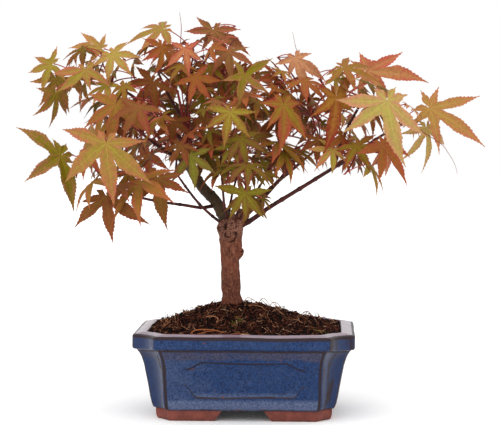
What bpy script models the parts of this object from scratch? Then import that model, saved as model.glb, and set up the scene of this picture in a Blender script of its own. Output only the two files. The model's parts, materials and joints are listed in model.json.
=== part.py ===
"""A small red-leaved maple grown as a bonsai, in a glazed pot with notched corners.

Lengths are written in millimetres and built in metres, +Z up, with the pot's front towards -Y.
The plant is planned round the middle of its pot, and the last step moves all of it so that the
origin lies on the ground, under the middle of the whole plant's box.
"""

import math
import random

import bmesh
import bpy
from mathutils import Vector
from mathutils.bvhtree import BVHTree
from mathutils.geometry import interpolate_bezier

MM = 0.001
GAP = 0.3 * MM
UP = Vector((0, 0, 1))

# The pot: overall sizes, its notched corners, and its wall from the foot to the rim
POT_WIDTH, POT_DEPTH, POT_HEIGHT = 155, 120, 60
NOTCH_ACROSS, NOTCH_BACK, NOTCH_STEP, STEP_SLANT = 17, 19, 3.2, 0.5
FOOT_NOTCH_SHARE, INNER_NOTCH_SHARE = 0.52, 0.8
FOOT_HEIGHT, FOOT_INSET, FOOT_THICK = 7.5, 15.8, 13
ARCH_WIDTH_FOOT, ARCH_WIDTH_TOP, SIDE_ARCH_SHARE = 43, 31, 0.72
RIM_HEIGHT, RIM_WIDTH, RIM_ROUND = 9.5, 10, 1.6
WALL, FLOOR_THICK = 6, 6
DRAIN_RADIUS, DRAIN_OFFSET = 6, 32
# The outer wall under the rim, as (height above the ground, how far in from the rim's edge)
BODY_PROFILE = ((7.5, 16.2), (8.6, 14.0), (11.0, 13.1), (28.0, 10.6), (40.0, 8.9), (45.0, 7.4), (49.5, 4.4))

# The soil: level with the rim at its edge, and mounded to the foot of the trunk
SOIL_EDGE, SOIL_TOP = 59.0, 77.0
SOIL_STEPS, SOIL_REST = 8, 2.5
# Points added along the pot's long and short faces, so that the mound can have its lumps and dips
SOIL_FACE_POINTS = {3: 7, 7: 11, 11: 7, 15: 11}
# The lumps, as (height, length of the wave along X and along Y, where it starts), and how soon they fade at both ends
SOIL_WAVES = ((1.0, 34, 41, 0.4), (0.8, 23, 52, 2.1), (0.7, 57, 27, 4.0))
SOIL_FADE = 6

# The trunk, as (height, x of its middle, radius), and the knobs that old cuts left on it
TRUNK_PROFILE = (
    (77.3, -9.7, 9.2), (79.0, -9.7, 8.3), (82.5, -10.2, 7.6), (89.0, -11.0, 7.0), (98.0, -11.2, 6.8),
    (107.0, -11.2, 6.9), (115.0, -11.2, 7.4), (123.0, -11.0, 8.2), (130.0, -10.8, 8.8), (136.0, -10.2, 8.9),
    (139.5, -9.6, 7.6), (141.5, -9.2, 5.0),
)
TRUNK_SIDES, TRUNK_DEPTH_SHARE = 12, 0.94
KNOBS = (  # (from, to, radius at the foot, radius at the end)
    ((-8.0, 0, 112.0), (-3.2, -2.2, 116.5), 4.4, 2.2),
    ((-8.5, 1, 133.0), (-1.2, 1.5, 143.6), 5.2, 3.4),
    ((-12.0, -2, 126.0), (-12.5, -9.6, 127.5), 5.0, 3.2),
    ((-13.0, 0, 130.0), (-19.8, -3.0, 131.0), 3.4, 2.2),
)

# Each limb: what carries it, its radius at the foot and at the tip, and its route from inside its carrier
LIMB_SIDES, LIMB_STEPS_PER_SPAN = 6, 2
LIMBS = {
    "leader": ("trunk", 4.0, 1.35, (
        (-11, 0, 131), (-16, 0, 140), (-24, 0, 149), (-33, 0, 164), (-39, 0, 180), (-41, 1, 196), (-42, 2, 211),
        (-42, 2, 221))),
    "bough_low_left": ("leader", 1.25, 0.85, (
        (-23, 0, 147.5), (-32, -6, 146.5), (-43, -13, 148.5), (-57, -22, 151), (-70, -30, 154), (-82, -37, 158))),
    "bough_left_front": ("leader", 1.8, 1.1, (
        (-38, 0, 178), (-48, -9, 182), (-57, -22, 188), (-66, -38, 196))),
    "bough_left_top": ("leader", 1.6, 0.9, (
        (-40, 0, 189), (-52, 2, 200), (-66, 2, 213), (-80, -2, 225), (-89, -6, 231))),
    "bough_top_left": ("leader", 1.3, 0.9, (
        (-41, 1, 205), (-50, 7, 216), (-57, 9, 228), (-61, 8, 237))),
    "bough_back_left": ("leader", 1.7, 1.0, (
        (-33, 1, 164), (-44, 18, 174), (-58, 36, 188), (-68, 46, 197))),
    "bough_back_top": ("leader", 1.4, 0.9, (
        (-41, 1, 198), (-35, 16, 210), (-27, 31, 223), (-24, 36, 228))),
    "shoot_left_inner": ("trunk", 1.1, 0.8, (
        (-13, -2, 132), (-22, -5.5, 139), (-32, -10, 148.5), (-40, -15, 159), (-45, -21, 167))),
    "shoot_centre": ("trunk", 0.95, 0.75, (
        (-12, -3, 136), (-14.5, -11, 146), (-16, -18, 168), (-16.5, -21, 190), (-15, -23, 201))),
    "shoot_low_front": ("trunk", 1.0, 0.8, (
        (-8, -3, 135), (-5.5, -13, 143), (-2, -25, 153), (0, -31, 158))),
    "bough_right": ("trunk", 1.9, 1.15, (
        (-8, -1, 131), (4.5, -3.5, 138), (18, -7, 147.5), (39, -11, 160.5), (63, -15, 175.5), (72, -19.5, 181))),
    "bough_right_top": ("bough_right", 1.35, 0.9, (
        (62, -15, 175), (66.5, -13, 188), (72, -10, 203), (79, -9, 216))),
    "bough_far_right": ("bough_right", 1.25, 0.85, (
        (65, -16, 176.5), (76, -12, 184), (92, -7, 195), (107, -5, 204))),
    "bough_right_steep": ("trunk", 1.5, 1.0, (
        (-7, 2, 134), (3.5, 6, 144), (14, 8, 155), (27, 9, 170), (41, 6, 188), (46, 4, 196))),
    "shoot_right_thin": ("trunk", 0.95, 0.75, (
        (-6, -2, 134), (0.5, -6.5, 147), (9, -10, 160), (18, -15, 175))),
    "bough_back_right": ("trunk", 1.6, 0.95, (
        (-9, 2, 131), (-1, 13, 143), (14, 27, 157), (34, 40, 174), (46, 46, 184))),
    "shoot_back_low": ("trunk", 1.1, 0.8, (
        (-11, 3, 131), (-13, 14, 141), (-12, 29, 153), (-10, 41, 163))),
}

# Each mass of foliage: the limb that carries it, the middle of its space and how far it reaches from there, its
# seed, how many shoots the rule adds, and the leaves that lead its own shoots. A leading leaf is (x, y, z of its
# base, length, heading of its middle lobe in the front view, turn and tilt of its face), and where its lobes are
# uneven they follow as (angle off the middle lobe, share of the length).
MASSES = {
    "foliage_low_left": ("bough_low_left", (-92, -46, 170), (42, 28, 24), 11, 2, (
        (-126, -42, 184, 34, 215, 20, 12, ((-105, 0.4), (-76, 1.1), (0, 0.92), (72, 1.2), (112, 0.3))),
        (-88, -84, 193, 44, 277, -6, 8, ((-117, 0.83), (-60, 0.96), (0, 1.0), (40, 0.96), (86, 0.6))),
        (-91, -62, 157, 32, 277, -5, 10, ((-86, 0.6), (-58, 0.98), (0, 1.0), (48, 1.1), (100, 0.4))),
        (-57, -60, 169, 36, 276, 8, 10, ((-110, 0.55), (-55, 0.75), (0, 1.0), (58, 0.65), (95, 0.5))),
        (-80, -35, 172, 26, 290, 5, 25))),
    "foliage_left_front": ("bough_left_front", (-84, -56, 210), (30, 26, 22), 12, 3, (
        (-85, -60, 219, 34, 262, -4, 12, ((-107, 0.68), (-51, 0.85), (0, 0.95), (58, 0.97), (92, 0.7))),)),
    "foliage_left_top": ("bough_left_top", (-110, -16, 244), (34, 32, 16), 13, 2, (
        (-137, -10, 248, 24, 193, -15, 12, ((-117, 0.6), (-39, 0.72), (0, 0.92), (49, 0.94), (120, 0.7))),
        (-108, -46, 243, 26, 280, 0, 15, ((-94, 0.92), (-59, 1.0), (0, 0.6), (49, 0.84), (125, 0.4))),
        (-104, 4, 260, 25, 172, 5, 20, ((-90, 0.5), (-32, 0.85), (0, 1.0), (60, 0.6), (120, 0.5))),
        (-92, -26, 254, 24, 310, 5, 30), (-133, -24, 228, 27, 270, 62, 0), (-136, -6, 239, 28, 298, 35, 10))),
    "foliage_top_left": ("bough_top_left", (-62, -4, 254), (28, 30, 18), 14, 3, (
        (-59, 0, 273, 31, 203, -10, 58), (-52, -18, 258, 26, 184, 0, 68), (-56, -44, 259, 22, 262, 50, 5),
        (-63, -30, 235, 27, 235, 0, 20))),
    "foliage_top": ("leader", (-32, -4, 252), (26, 32, 20), 15, 3, (
        (-24, 2, 273, 32, 294, -5, 12, ((-150, 0.52), (-112, 0.68), (-50, 0.55), (0, 1.0), (36, 1.02), (68, 0.62))),
        (-39, -44, 257, 20, 280, 0, 12, ((-124, 0.65), (-56, 1.0), (0, 0.95), (42, 0.76), (110, 0.6))),
        (-24, -15, 246, 16, 270, 0, 20), (-34, -32, 238, 21, 305, 10, 10))),
    "foliage_centre_front": ("shoot_centre", (-6, -34, 218), (28, 24, 22), 16, 2, (
        (1, -42, 239, 24, 256, 5, 12, ((-135, 0.62), (-62, 0.68), (0, 0.88), (66, 0.9), (138, 1.04))),
        (-8, -60, 214, 26, 262, -5, 15), (4, -10, 210, 20, 262, 0, 10), (-26, -15, 210, 24, 245, -30, 10))),
    "foliage_low_front": ("shoot_low_front", (6, -46, 174), (24, 20, 20), 17, 0, (
        (2, -60, 159, 25, 272, 0, 12, ((-107, 0.95), (-34, 0.85), (0, 0.75), (33, 0.9), (94, 0.8))),
        (9, -36, 169, 22, 350, 0, 66), (-1, -46, 196, 22, 285, 0, 15))),
    "foliage_left_inner": ("shoot_left_inner", (-46, -24, 192), (24, 20, 20), 18, 3, (
        (-36, -42, 184, 25, 282, 5, 15), (-50, -22, 208, 22, 270, 0, 20), (-30, -8, 187, 22, 305, 5, 10))),
    "foliage_right_inner": ("bough_right_steep", (32, -12, 226), (28, 32, 24), 19, 4, (
        (35, -18, 252, 28, 292, 0, 12, ((-93, 0.55), (-42, 0.54), (0, 1.0), (34, 1.0), (86, 0.45))),
        (28, -52, 219, 34, 270, 20, 10, ((-95, 0.5), (-38, 0.62), (0, 1.0), (36, 0.9), (95, 0.4))),
        (24, -12, 212, 26, 225, 0, 15))),
    "foliage_right_low": ("shoot_right_thin", (36, -30, 192), (26, 22, 16), 20, 2, (
        (27, -32, 183, 18, 270, 0, 50), (52, -36, 195, 18, 262, 0, 15))),
    "foliage_right_top": ("bough_right_top", (84, -20, 234), (30, 34, 20), 21, 4, (
        (86, -2, 243, 46, 358, 0, 14, ((-110, 0.4), (-48, 0.6), (0, 1.0), (30, 0.66), (112, 0.34))),
        (64, -42, 224, 40, 261, 20, 8, ((-110, 0.45), (-45, 0.6), (0, 1.0), (60, 0.45), (150, 0.62))),
        (98, -62, 221, 47, 280, -8, 10, ((-100, 0.82), (-64, 0.82), (0, 1.0), (36, 0.75), (100, 0.3))))),
    "foliage_right_front": ("bough_right", (88, -40, 190), (24, 20, 14), 22, 2, (
        (78, -46, 191, 24, 290, 0, 35), (98, -30, 191, 23, 285, 40, 5))),
    "foliage_far_right": ("bough_far_right", (126, 0, 212), (20, 28, 16), 23, 2, (
        (130, -12, 217, 50, 329, 0, 12, ((-105, 0.4), (-44, 0.66), (0, 1.0), (44, 0.8), (100, 0.35))),
        (128, 5, 203, 34, 290, 45, 0))),
    "foliage_back_left": ("bough_back_left", (-80, 56, 212), (40, 38, 34), 24, 7, ()),
    "foliage_back_top": ("bough_back_top", (-30, 46, 238), (38, 34, 24), 25, 7, ()),
    "foliage_back_right": ("bough_back_right", (66, 54, 210), (46, 38, 28), 26, 7, ()),
    "foliage_back_low": ("shoot_back_low", (-8, 62, 182), (40, 26, 22), 27, 4, ()),
}

# A leaf, in shares of its middle lobe: (angle off the middle lobe, length) of the lobes on either side,
# and how far out the blade is whole between one lobe and the next
LOBES = ((0, 1.0), (48, 0.94), (98, 0.74))
SINUSES = (0.31, 0.27)
LOBE_SWAY, LOBE_SPREAD = (-4, 4), (0.93, 1.05)
BASE_SINUS, MIDDLE = 0.06, 0.13
LOBE_WIDEST, LOBE_HALF_WIDTH = 0.52, 0.135
WIDE_BESIDE_MIDDLE, SMALL_LEAF = 1, 22
LEAF_THICK_SHARE, LEAF_FOLD = 0.024, 0.25
LEAF_CURL = (0.15, 0.65)
LEAF_LENGTH = (19, 33)
# A leaf keeps this much more room than it fills, as shares of its length, its thickness and its stalk's radius
ROOM_ACROSS, ROOM_THICK, ROOM_ROUND = 1.03, 3.0, 1.6

# Stalks and twigs
STALK_SHARE, STALK_LEAST, STALK_MOST, STALK_DROP = 0.72, 13, 27, 1.6
STALK_RADIUS, TWIG_RADIUS, TWIG_TIP_RADIUS = 0.5, 0.85, 0.62
STEM_LENGTH, NODE_SPACING, NODE_LEAST = 7, 24, 8
TWIG_SIDES, TWIG_STEPS = 3, 2
STALK_CORNERS = (-30, 210, 90)
PAIR_SIZE = (0.65, 0.95)
TWIG_LEAST, SHARPEST_FORK, WAYS_TRIED = 4, -0.5, 5
END_SINK, SIDE_SINK = 1.2, 0.3
CROWN_AXIS = (-8, 0)

# How the rule tries a place for a leaf, and what it refuses
TRIES = 10
HEART_CLEAR = 0.35  # an added leaf starts at least this share of the way out from the heart
LEADING_SLACK = 6
SPACE_MARGIN = 1.15
STALK_UNDER_BLADE = 0.4


def point(x, y, z):
    return Vector((x, y, z)) * MM


# Curves and tubes


def smooth_route(corners, steps):
    """A smooth line through the corners, with this many steps from each to the next."""
    ends = [2 * corners[0] - corners[1], *corners, 2 * corners[-1] - corners[-2]]
    line = []
    for before, here, there, after in zip(ends, ends[1:], ends[2:], ends[3:]):
        out, back = (there - before) / 6, (after - here) / 6
        line += interpolate_bezier(here, here + out, there - back, there, steps + 1)[:-1]
    return line + [corners[-1]]


def bend(start, towards, end, steps):
    """A line from start to end that leaves in the direction of the point towards."""
    return [start.lerp(towards, t).lerp(towards.lerp(end, t), t) for t in (i / steps for i in range(steps + 1))]


def tube(line, radii, sides, squash=1.0):
    """A closed tube of flat faces round a line, as (points, faces)."""
    points, faces = [], []
    side = None
    for i, (here, radius) in enumerate(zip(line, radii)):
        along = (line[min(i + 1, len(line) - 1)] - line[max(i - 1, 0)]).normalized()
        if side is None:
            side = along.cross(UP if abs(along.z) < 0.9 else Vector((0, 1, 0)))
        side = (side - along * side.dot(along)).normalized()
        other = along.cross(side)
        for j in range(sides):
            turn = 2 * math.pi * j / sides
            points.append(here + radius * (math.cos(turn) * side + squash * math.sin(turn) * other))
    for i in range(len(line) - 1):
        for j in range(sides):
            a, b = i * sides + j, i * sides + (j + 1) % sides
            faces.append((a, b, b + sides, a + sides))
    faces.append(tuple(reversed(range(sides))))
    faces.append(tuple(range(len(points) - sides, len(points))))
    return points, faces


def taper(first, last, count):
    return [first + (last - first) * i / (count - 1) for i in range(count)]


def at_length(line, length):
    """The point this far along a line, and the line's direction there."""
    for here, there in zip(line, line[1:]):
        step = (there - here).length
        if length <= step:
            return here.lerp(there, length / step), (there - here).normalized()
        length -= step
    return line[-1].copy(), (line[-1] - line[-2]).normalized()


def length_of(line):
    return sum((b - a).length for a, b in zip(line, line[1:]))


# Leaves


class Leaf:
    """One palmate leaf: its base, its own axes, its lobes and how far they curl down."""

    def __init__(self, base, along, normal, length, rng, lobes=None):
        self.base, self.length = base, length
        self.normal = normal.normalized()
        self.along = (along - self.normal * along.dot(self.normal)).normalized()
        self.across = self.normal.cross(self.along)
        self.curl = rng.uniform(*LEAF_CURL)
        sides = [(-angle, share) for angle, share in reversed(LOBES[1:])] + list(LOBES)
        even = [(angle + rng.uniform(*LOBE_SWAY), share * rng.uniform(*LOBE_SPREAD)) for angle, share in sides]
        self.lobes = lobes or even

    def at(self, angle, reach, lift=0.0):
        """The point at this angle off the middle lobe and this share of its length, on the curled blade."""
        turn = math.radians(angle)
        flat = math.cos(turn) * self.along + math.sin(turn) * self.across
        out, down = math.sin(self.curl * reach) / self.curl, (1 - math.cos(self.curl * reach)) / self.curl
        return self.base + self.length * (flat * out + self.normal * (lift - down))

    def outline(self):
        """The blade's edge from one side of its stalk round to the other, as (angle, reach, lift) of its corners."""
        edge = []
        beside = math.degrees(math.atan2(LOBE_HALF_WIDTH, LOBE_WIDEST))
        out = math.hypot(LOBE_HALF_WIDTH, LOBE_WIDEST)
        middle = len(self.lobes) // 2
        beside_middle = WIDE_BESIDE_MIDDLE if self.length > SMALL_LEAF * MM else 0
        for i, (angle, share) in enumerate(self.lobes):
            wide = abs(i - middle) <= beside_middle
            if wide:
                edge.append((angle - beside, out * share, LEAF_FOLD * LOBE_HALF_WIDTH * share))
            edge.append((angle, share, 0))
            if wide:
                edge.append((angle + beside, out * share, LEAF_FOLD * LOBE_HALF_WIDTH * share))
            if i + 1 < len(self.lobes):
                sinus = SINUSES[0] if i in (middle - 1, middle) else SINUSES[1]
                edge.append(((angle + self.lobes[i + 1][0]) / 2, sinus, 0))
        return edge

    def back(self):
        """The place on the blade's edge where its stalk joins it."""
        return self.base - self.along * BASE_SINUS * self.length

    def shape(self, stalk=None, wider=1.0, thicker=1.0):
        """The blade, thin at its edge, and its stalk if that is given, as one closed solid's (points, faces)."""
        half, radius = LEAF_THICK_SHARE * thicker * self.length / 2, STALK_RADIUS * MM
        back, middle = self.back(), self.at(0, MIDDLE)
        points = [back - self.across * radius]
        points += [self.at(angle, reach * wider, lift) for angle, reach, lift in self.outline()]
        points += [back + self.across * radius]
        last = len(points) - 1
        top, bottom, low = last + 1, last + 2, last + 3
        points += [middle + self.normal * half, middle - self.normal * half, back - self.normal * STALK_DROP * radius]
        faces = [(top, i, i + 1) for i in range(last)] + [(top, last, 0)]
        faces += [(bottom, i + 1, i) for i in range(last)] + [(bottom, 0, low), (bottom, low, last)]
        ring = (last, 0, low)
        for here, there in zip(stalk or (), (stalk or ())[1:]):
            along = (there - here).normalized()
            side = (self.across - along * self.across.dot(along)).normalized()
            down = along.cross(side)
            turns = [math.radians(turn) for turn in STALK_CORNERS]
            points += [there + radius * (math.cos(turn) * side + math.sin(turn) * down) for turn in turns]
            after = (len(points) - 3, len(points) - 2, len(points) - 1)
            faces += [(ring[(j + 1) % 3], ring[j], after[j], after[(j + 1) % 3]) for j in range(3)]
            ring = after
        faces.append(tuple(reversed(ring)))
        return points, faces


# The rule by which a mass of foliage grows


class Room:
    """What already stands in the crown. It says whether a new shape would touch any of it."""

    def __init__(self):
        self.things = []

    @staticmethod
    def boxed(shape):
        points, faces = shape
        low = Vector(map(min, *points))
        high = Vector(map(max, *points))
        return BVHTree.FromPolygons(points, faces), low, high

    def add(self, shape, owner):
        self.things.append((*self.boxed(shape), owner))

    def touches(self, shape, leave_out=None):
        tree, low, high = self.boxed(shape)
        for other, other_low, other_high, owner in self.things:
            apart = any(low[i] > other_high[i] or high[i] < other_low[i] for i in range(3))
            if owner != leave_out and not apart and tree.overlap(other):
                return True
        return False

    @classmethod
    def overlap(cls, shape, other):
        return bool(cls.boxed(shape)[0].overlap(cls.boxed(other)[0]))


def outward(place):
    flat = Vector((place.x - CROWN_AXIS[0] * MM, place.y - CROWN_AXIS[1] * MM, 0))
    return flat.normalized() if flat.length > 1e-6 else Vector((0, -1, 0))


def chance(rng, size):
    return Vector([rng.uniform(-size, size) for _ in range(3)])


class Mass:
    """The twigs and the stalked leaves that grow from the tip of one limb."""

    def __init__(self, name, limb_line, spec, room):
        self.name, self.room = name, room
        limb, heart, reach, seed, self.added, self.leading = spec
        self.heart, self.reach = point(*heart), [r * MM for r in reach]
        self.rng = random.Random(seed)
        tip = limb_line[-1]
        ahead = (tip - limb_line[-2]).normalized()
        stem = [tip + ahead * GAP, tip + ahead * STEM_LENGTH * MM]
        radius = LIMBS[limb][2] * MM
        self.twigs, self.leaves, self.open_places = [], [], []
        self.keep_twig(stem, taper(radius, 0.9 * radius, 2))
        # Where a twig may start: (place, direction, way back to the limb)
        self.starts = [(stem[1], ahead, STEM_LENGTH * MM)]

    def keep_twig(self, line, radii):
        self.twigs.append((line, radii))
        self.room.add(tube(line, radii, TWIG_SIDES), self.name)

    def keep_leaf(self, leaf, stalk):
        self.leaves.append((leaf, stalk))
        self.room.add(leaf.shape(), self.name + " blades")
        self.room.add(tube(stalk, [STALK_RADIUS * MM] * len(stalk), TWIG_SIDES), self.name)

    def leading_leaf(self, spec):
        """A leaf of the list. A try that doesn't fit is followed by one a little nearer or further away."""
        x, y, z, length, heading, turn, tilt, *lobes = spec
        heading, turn, tilt = math.radians(heading), math.radians(turn), math.radians(tilt)
        face = Vector((math.sin(turn) * math.cos(tilt), -math.cos(turn) * math.cos(tilt), math.sin(tilt)))
        base = point(x, y + self.rng.uniform(-1, 1) * LEADING_SLACK, z)
        return Leaf(base, Vector((math.cos(heading), 0, math.sin(heading))), face, length * MM, self.rng, *lobes)

    def added_leaf(self):
        """A leaf for a new shoot, towards the outside of the mass's space."""
        way = Vector([self.rng.gauss(0, 1) for _ in range(3)]).normalized()
        share = self.rng.uniform(HEART_CLEAR, 1.0)
        base = self.heart + share * Vector([way[i] * self.reach[i] for i in range(3)])
        return self.free_leaf(base, self.rng.uniform(*LEAF_LENGTH) * MM, outward(base))

    def free_leaf(self, base, length, stalk_way):
        """A leaf that faces outwards and up, and whose middle lobe hangs on from its stalk."""
        out = outward(base)
        normal = 0.6 * out + 0.6 * UP + chance(self.rng, 0.4)
        along = 0.45 * out - 0.55 * UP + 0.6 * stalk_way + chance(self.rng, 0.5)
        return Leaf(base, along, normal, length, self.rng)

    def stalk_length(self, length):
        return min(max(STALK_SHARE * length, STALK_LEAST * MM), STALK_MOST * MM)

    def node_of(self, leaf):
        """Where the stalk of a new shoot's end leaf starts."""
        way = 0.45 * outward(leaf.base) + 0.35 * UP + 0.25 * leaf.normal + 0.4 * leaf.along + chance(self.rng, 0.2)
        return leaf.base - way.normalized() * self.stalk_length(leaf.length)

    def stalk(self, leaf, node, sink):
        """The stalk's line from the blade to its node, and a little further, into the twig."""
        away = leaf.back() - node
        end = node - away.normalized() * sink * MM
        return bend(leaf.back(), node + 0.45 * away + 0.16 * away.length * UP, end, TWIG_STEPS)

    def fits(self, leaf, stalk, twig=None):
        """True if the leaf, its stalk and its twig touch nothing but the mass's own twigs."""
        if (stalk[1] - stalk[0]).normalized().dot(leaf.along) > STALK_UNDER_BLADE:
            return False
        blade = leaf.shape(wider=ROOM_ACROSS, thicker=ROOM_THICK)
        if self.room.touches(blade) or self.room.overlap(blade, self.thick(stalk[1:], STALK_RADIUS)):
            return False
        lines = [self.thick(stalk, STALK_RADIUS)] + ([self.thick(twig, TWIG_RADIUS)] if twig else [])
        return not any(self.room.touches(line, self.name) for line in lines)

    @staticmethod
    def thick(line, radius):
        """A tube with room round it."""
        return tube(line, [ROOM_ROUND * radius * MM] * len(line), TWIG_SIDES)

    def ways_in(self, node):
        """The starts from which a twig could reach this node, the nearest first."""
        costs = []
        for number, (start, ahead, back) in enumerate(self.starts):
            away = node - start
            if away.length > TWIG_LEAST * MM and away.normalized().dot(ahead) > SHARPEST_FORK:
                costs.append((away.length + 0.45 * back, number))
        return [self.starts[number] for _, number in sorted(costs)[:WAYS_TRIED]]

    def grow_shoot(self, make_leaf):
        """One twig with a leaf at its end."""
        for _ in range(TRIES):
            leaf = make_leaf()
            node = self.node_of(leaf)
            stalk = self.stalk(leaf, node, END_SINK)
            for start, ahead, back in self.ways_in(node):
                away = node - start
                twig = bend(start, start + 0.4 * away + 0.18 * away.length * ahead, node, TWIG_STEPS)
                if self.fits(leaf, stalk, twig):
                    self.keep_twig(twig, taper(TWIG_RADIUS * MM, TWIG_TIP_RADIUS * MM, len(twig)))
                    self.keep_leaf(leaf, stalk)
                    self.mark_nodes(leaf, node, twig, back)
                    return

    def mark_nodes(self, leaf, node, twig, back):
        """Notes where leaves stand along a new twig. They stand in pairs, each turned a quarter from the last."""
        whole = length_of(twig)
        direction = (twig[-1] - twig[-2]).normalized()
        stalk_way = (leaf.base - node).normalized()
        self.starts.append((node, direction, back + whole))
        self.open_places.append((node, direction, stalk_way, leaf.length))
        quarter = direction.cross(stalk_way)
        length = whole - NODE_SPACING * MM
        while length > NODE_LEAST * MM:
            place, direction = at_length(twig, length)
            self.starts.append((place, direction, back + length))
            for side in (quarter, -quarter):
                self.open_places.append((place, direction, side, leaf.length))
            quarter = direction.cross(quarter)
            length -= NODE_SPACING * MM

    def fill_nodes(self):
        """A leaf at each noted place that has room for one."""
        for place in self.open_places:
            self.opposite(*place)
        self.open_places = []

    def opposite(self, node, direction, stalk_way, length):
        """A leaf on the side of the twig away from stalk_way, if it has room."""
        across = stalk_way - direction * stalk_way.dot(direction)
        if across.length < 0.05:
            return
        for _ in range(TRIES):
            size = length * self.rng.uniform(*PAIR_SIZE)
            way = (0.55 * direction - across.normalized() + 0.25 * UP + chance(self.rng, 0.35)).normalized()
            leaf = self.free_leaf(node + way * self.stalk_length(size), size, way)
            stalk = self.stalk(leaf, node, SIDE_SINK)
            if self.inside(leaf.base) and self.fits(leaf, stalk):
                self.keep_leaf(leaf, stalk)
                return

    def inside(self, place):
        """True within the mass's own space, an ellipsoid about its heart."""
        away = place - self.heart
        return sum((away[i] / (SPACE_MARGIN * self.reach[i])) ** 2 for i in range(3)) < 1

    def lead(self):
        for spec in self.leading:
            self.grow_shoot(lambda: self.leading_leaf(spec))

    def fill(self):
        for _ in range(self.added):
            self.grow_shoot(self.added_leaf)
        self.fill_nodes()


def grow_crown(limb_lines):
    """Every mass, grown in turn into the room that the trunk, the limbs and the masses before it leave."""
    room = Room()
    for shape in [trunk_shape()] + [knob_shape(knob) for knob in KNOBS]:
        room.add(shape, "trunk")
    for name, line in limb_lines.items():
        room.add(limb_shape(name, line, GAP / MM), name)
    crown = {}
    for name, spec in MASSES.items():
        crown[name] = Mass(name, limb_lines[spec[0]], spec, room)
    for mass in crown.values():
        mass.lead()
    for mass in crown.values():
        mass.fill()
    return crown


# Objects


def material(name, colour, roughness):
    made = bpy.data.materials.new(name)
    made.use_nodes = True
    shader = made.node_tree.nodes["Principled BSDF"]
    shader.inputs["Base Color"].default_value = (*colour, 1)
    shader.inputs["Roughness"].default_value = roughness
    shader.inputs["Metallic"].default_value = 0.0
    return made


def make_object(name, shape, finish=None):
    points, faces = shape
    mesh = bpy.data.meshes.new(name)
    mesh.from_pydata([tuple(p) for p in points], [], faces)
    made = bpy.data.objects.new(name, mesh)
    bpy.context.scene.collection.objects.link(made)
    if finish:
        mesh.materials.append(finish)
    return made


def settle(target):
    """Applies the object's modifiers."""
    graph = bpy.context.evaluated_depsgraph_get()
    mesh = bpy.data.meshes.new_from_object(target.evaluated_get(graph))
    target.modifiers.clear()
    old = target.data
    target.data = mesh
    bpy.data.meshes.remove(old)


def drop(thing):
    bpy.data.objects.remove(thing, do_unlink=True)


def combine(target, others, operation, solver="EXACT"):
    """One Boolean of the target with a collection of others, applied. The others are then removed."""
    group = bpy.data.collections.new("working")
    bpy.context.scene.collection.children.link(group)
    for other in others:
        bpy.context.scene.collection.objects.unlink(other)
        group.objects.link(other)
    step = target.modifiers.new(operation.lower(), "BOOLEAN")
    step.operation = operation
    step.operand_type = "COLLECTION"
    step.collection = group
    step.solver = solver
    bpy.context.view_layer.update()
    settle(target)
    for other in list(group.objects):
        drop(other)
    bpy.data.collections.remove(group)
    return target


def islands(mesh):
    """The faces of a bmesh, in sets that share edges."""
    left, found = set(mesh.faces), []
    while left:
        first = left.pop()
        island, front = {first}, [first]
        while front:
            for edge in front.pop().edges:
                for near in edge.link_faces:
                    if near in left:
                        left.remove(near)
                        island.add(near)
                        front.append(near)
        found.append(island)
    return found


def keep_one_body(target):
    """Drops loose scraps and fills sealed hollows, which are islands of their own, and says how many went."""
    mesh = bmesh.new()
    mesh.from_mesh(target.data)
    bmesh.ops.triangulate(mesh, faces=mesh.faces)
    found = sorted(islands(mesh), key=len)
    loose = [face for island in found[:-1] for face in island]
    bmesh.ops.delete(mesh, geom=loose, context="FACES")
    mesh.to_mesh(target.data)
    mesh.free()
    return len(found) - 1


# The pot and its soil


def pot_outline(inset, height, notch_share=None):
    """The pot's plan at this height, as its corners in order, drawn in from the rim's edge."""
    if notch_share is None:
        notch_share = FOOT_NOTCH_SHARE + (1 - FOOT_NOTCH_SHARE) * min(height / (POT_HEIGHT - RIM_HEIGHT), 1)
    half_x, half_y = (POT_WIDTH / 2 - inset) * MM, (POT_DEPTH / 2 - inset) * MM
    across, back = NOTCH_ACROSS * notch_share * MM, NOTCH_BACK * notch_share * MM
    step = NOTCH_STEP * notch_share * MM
    quarter = (
        (half_x, -half_y + back),
        (half_x - step, -half_y + back - STEP_SLANT * step),
        (half_x - across + STEP_SLANT * step, -half_y + step),
        (half_x - across, -half_y),
    )
    corners = [
        *[(x, y) for x, y in reversed(quarter)],
        *[(x, -y) for x, y in quarter],
        *[(-x, -y) for x, y in reversed(quarter)],
        *[(-x, y) for x, y in quarter],
    ]
    return [Vector((x, y, height * MM)) for x, y in corners]


def stack(rings):
    """A closed solid from outlines with the same number of corners, the first and last of them filled."""
    count = len(rings[0])
    points = [p for ring in rings for p in ring]
    faces = [tuple(reversed(range(count)))]
    for i in range(len(rings) - 1):
        for j in range(count):
            a, b = i * count + j, i * count + (j + 1) % count
            faces.append((a, b, b + count, a + count))
    faces.append(tuple(range(len(points) - count, len(points))))
    return points, faces


def rim_rings():
    """The rim from its lower edge round to the inside."""
    low = POT_HEIGHT - RIM_HEIGHT
    return [
        pot_outline(1.3, low),
        pot_outline(0, low + RIM_ROUND),
        pot_outline(0, POT_HEIGHT - RIM_ROUND),
        pot_outline(RIM_ROUND, POT_HEIGHT),
        pot_outline(RIM_WIDTH - 1, POT_HEIGHT, INNER_NOTCH_SHARE),
        pot_outline(RIM_WIDTH, POT_HEIGHT - 1, INNER_NOTCH_SHARE),
    ]


def inner_ring(height):
    """The inside of the wall at this height, which follows the outside."""
    low, low_inset = BODY_PROFILE[2]
    high = POT_HEIGHT - 1
    share = (height - low) / (high - low)
    return pot_outline(low_inset + WALL + share * (RIM_WIDTH - low_inset - WALL), height, INNER_NOTCH_SHARE)


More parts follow.
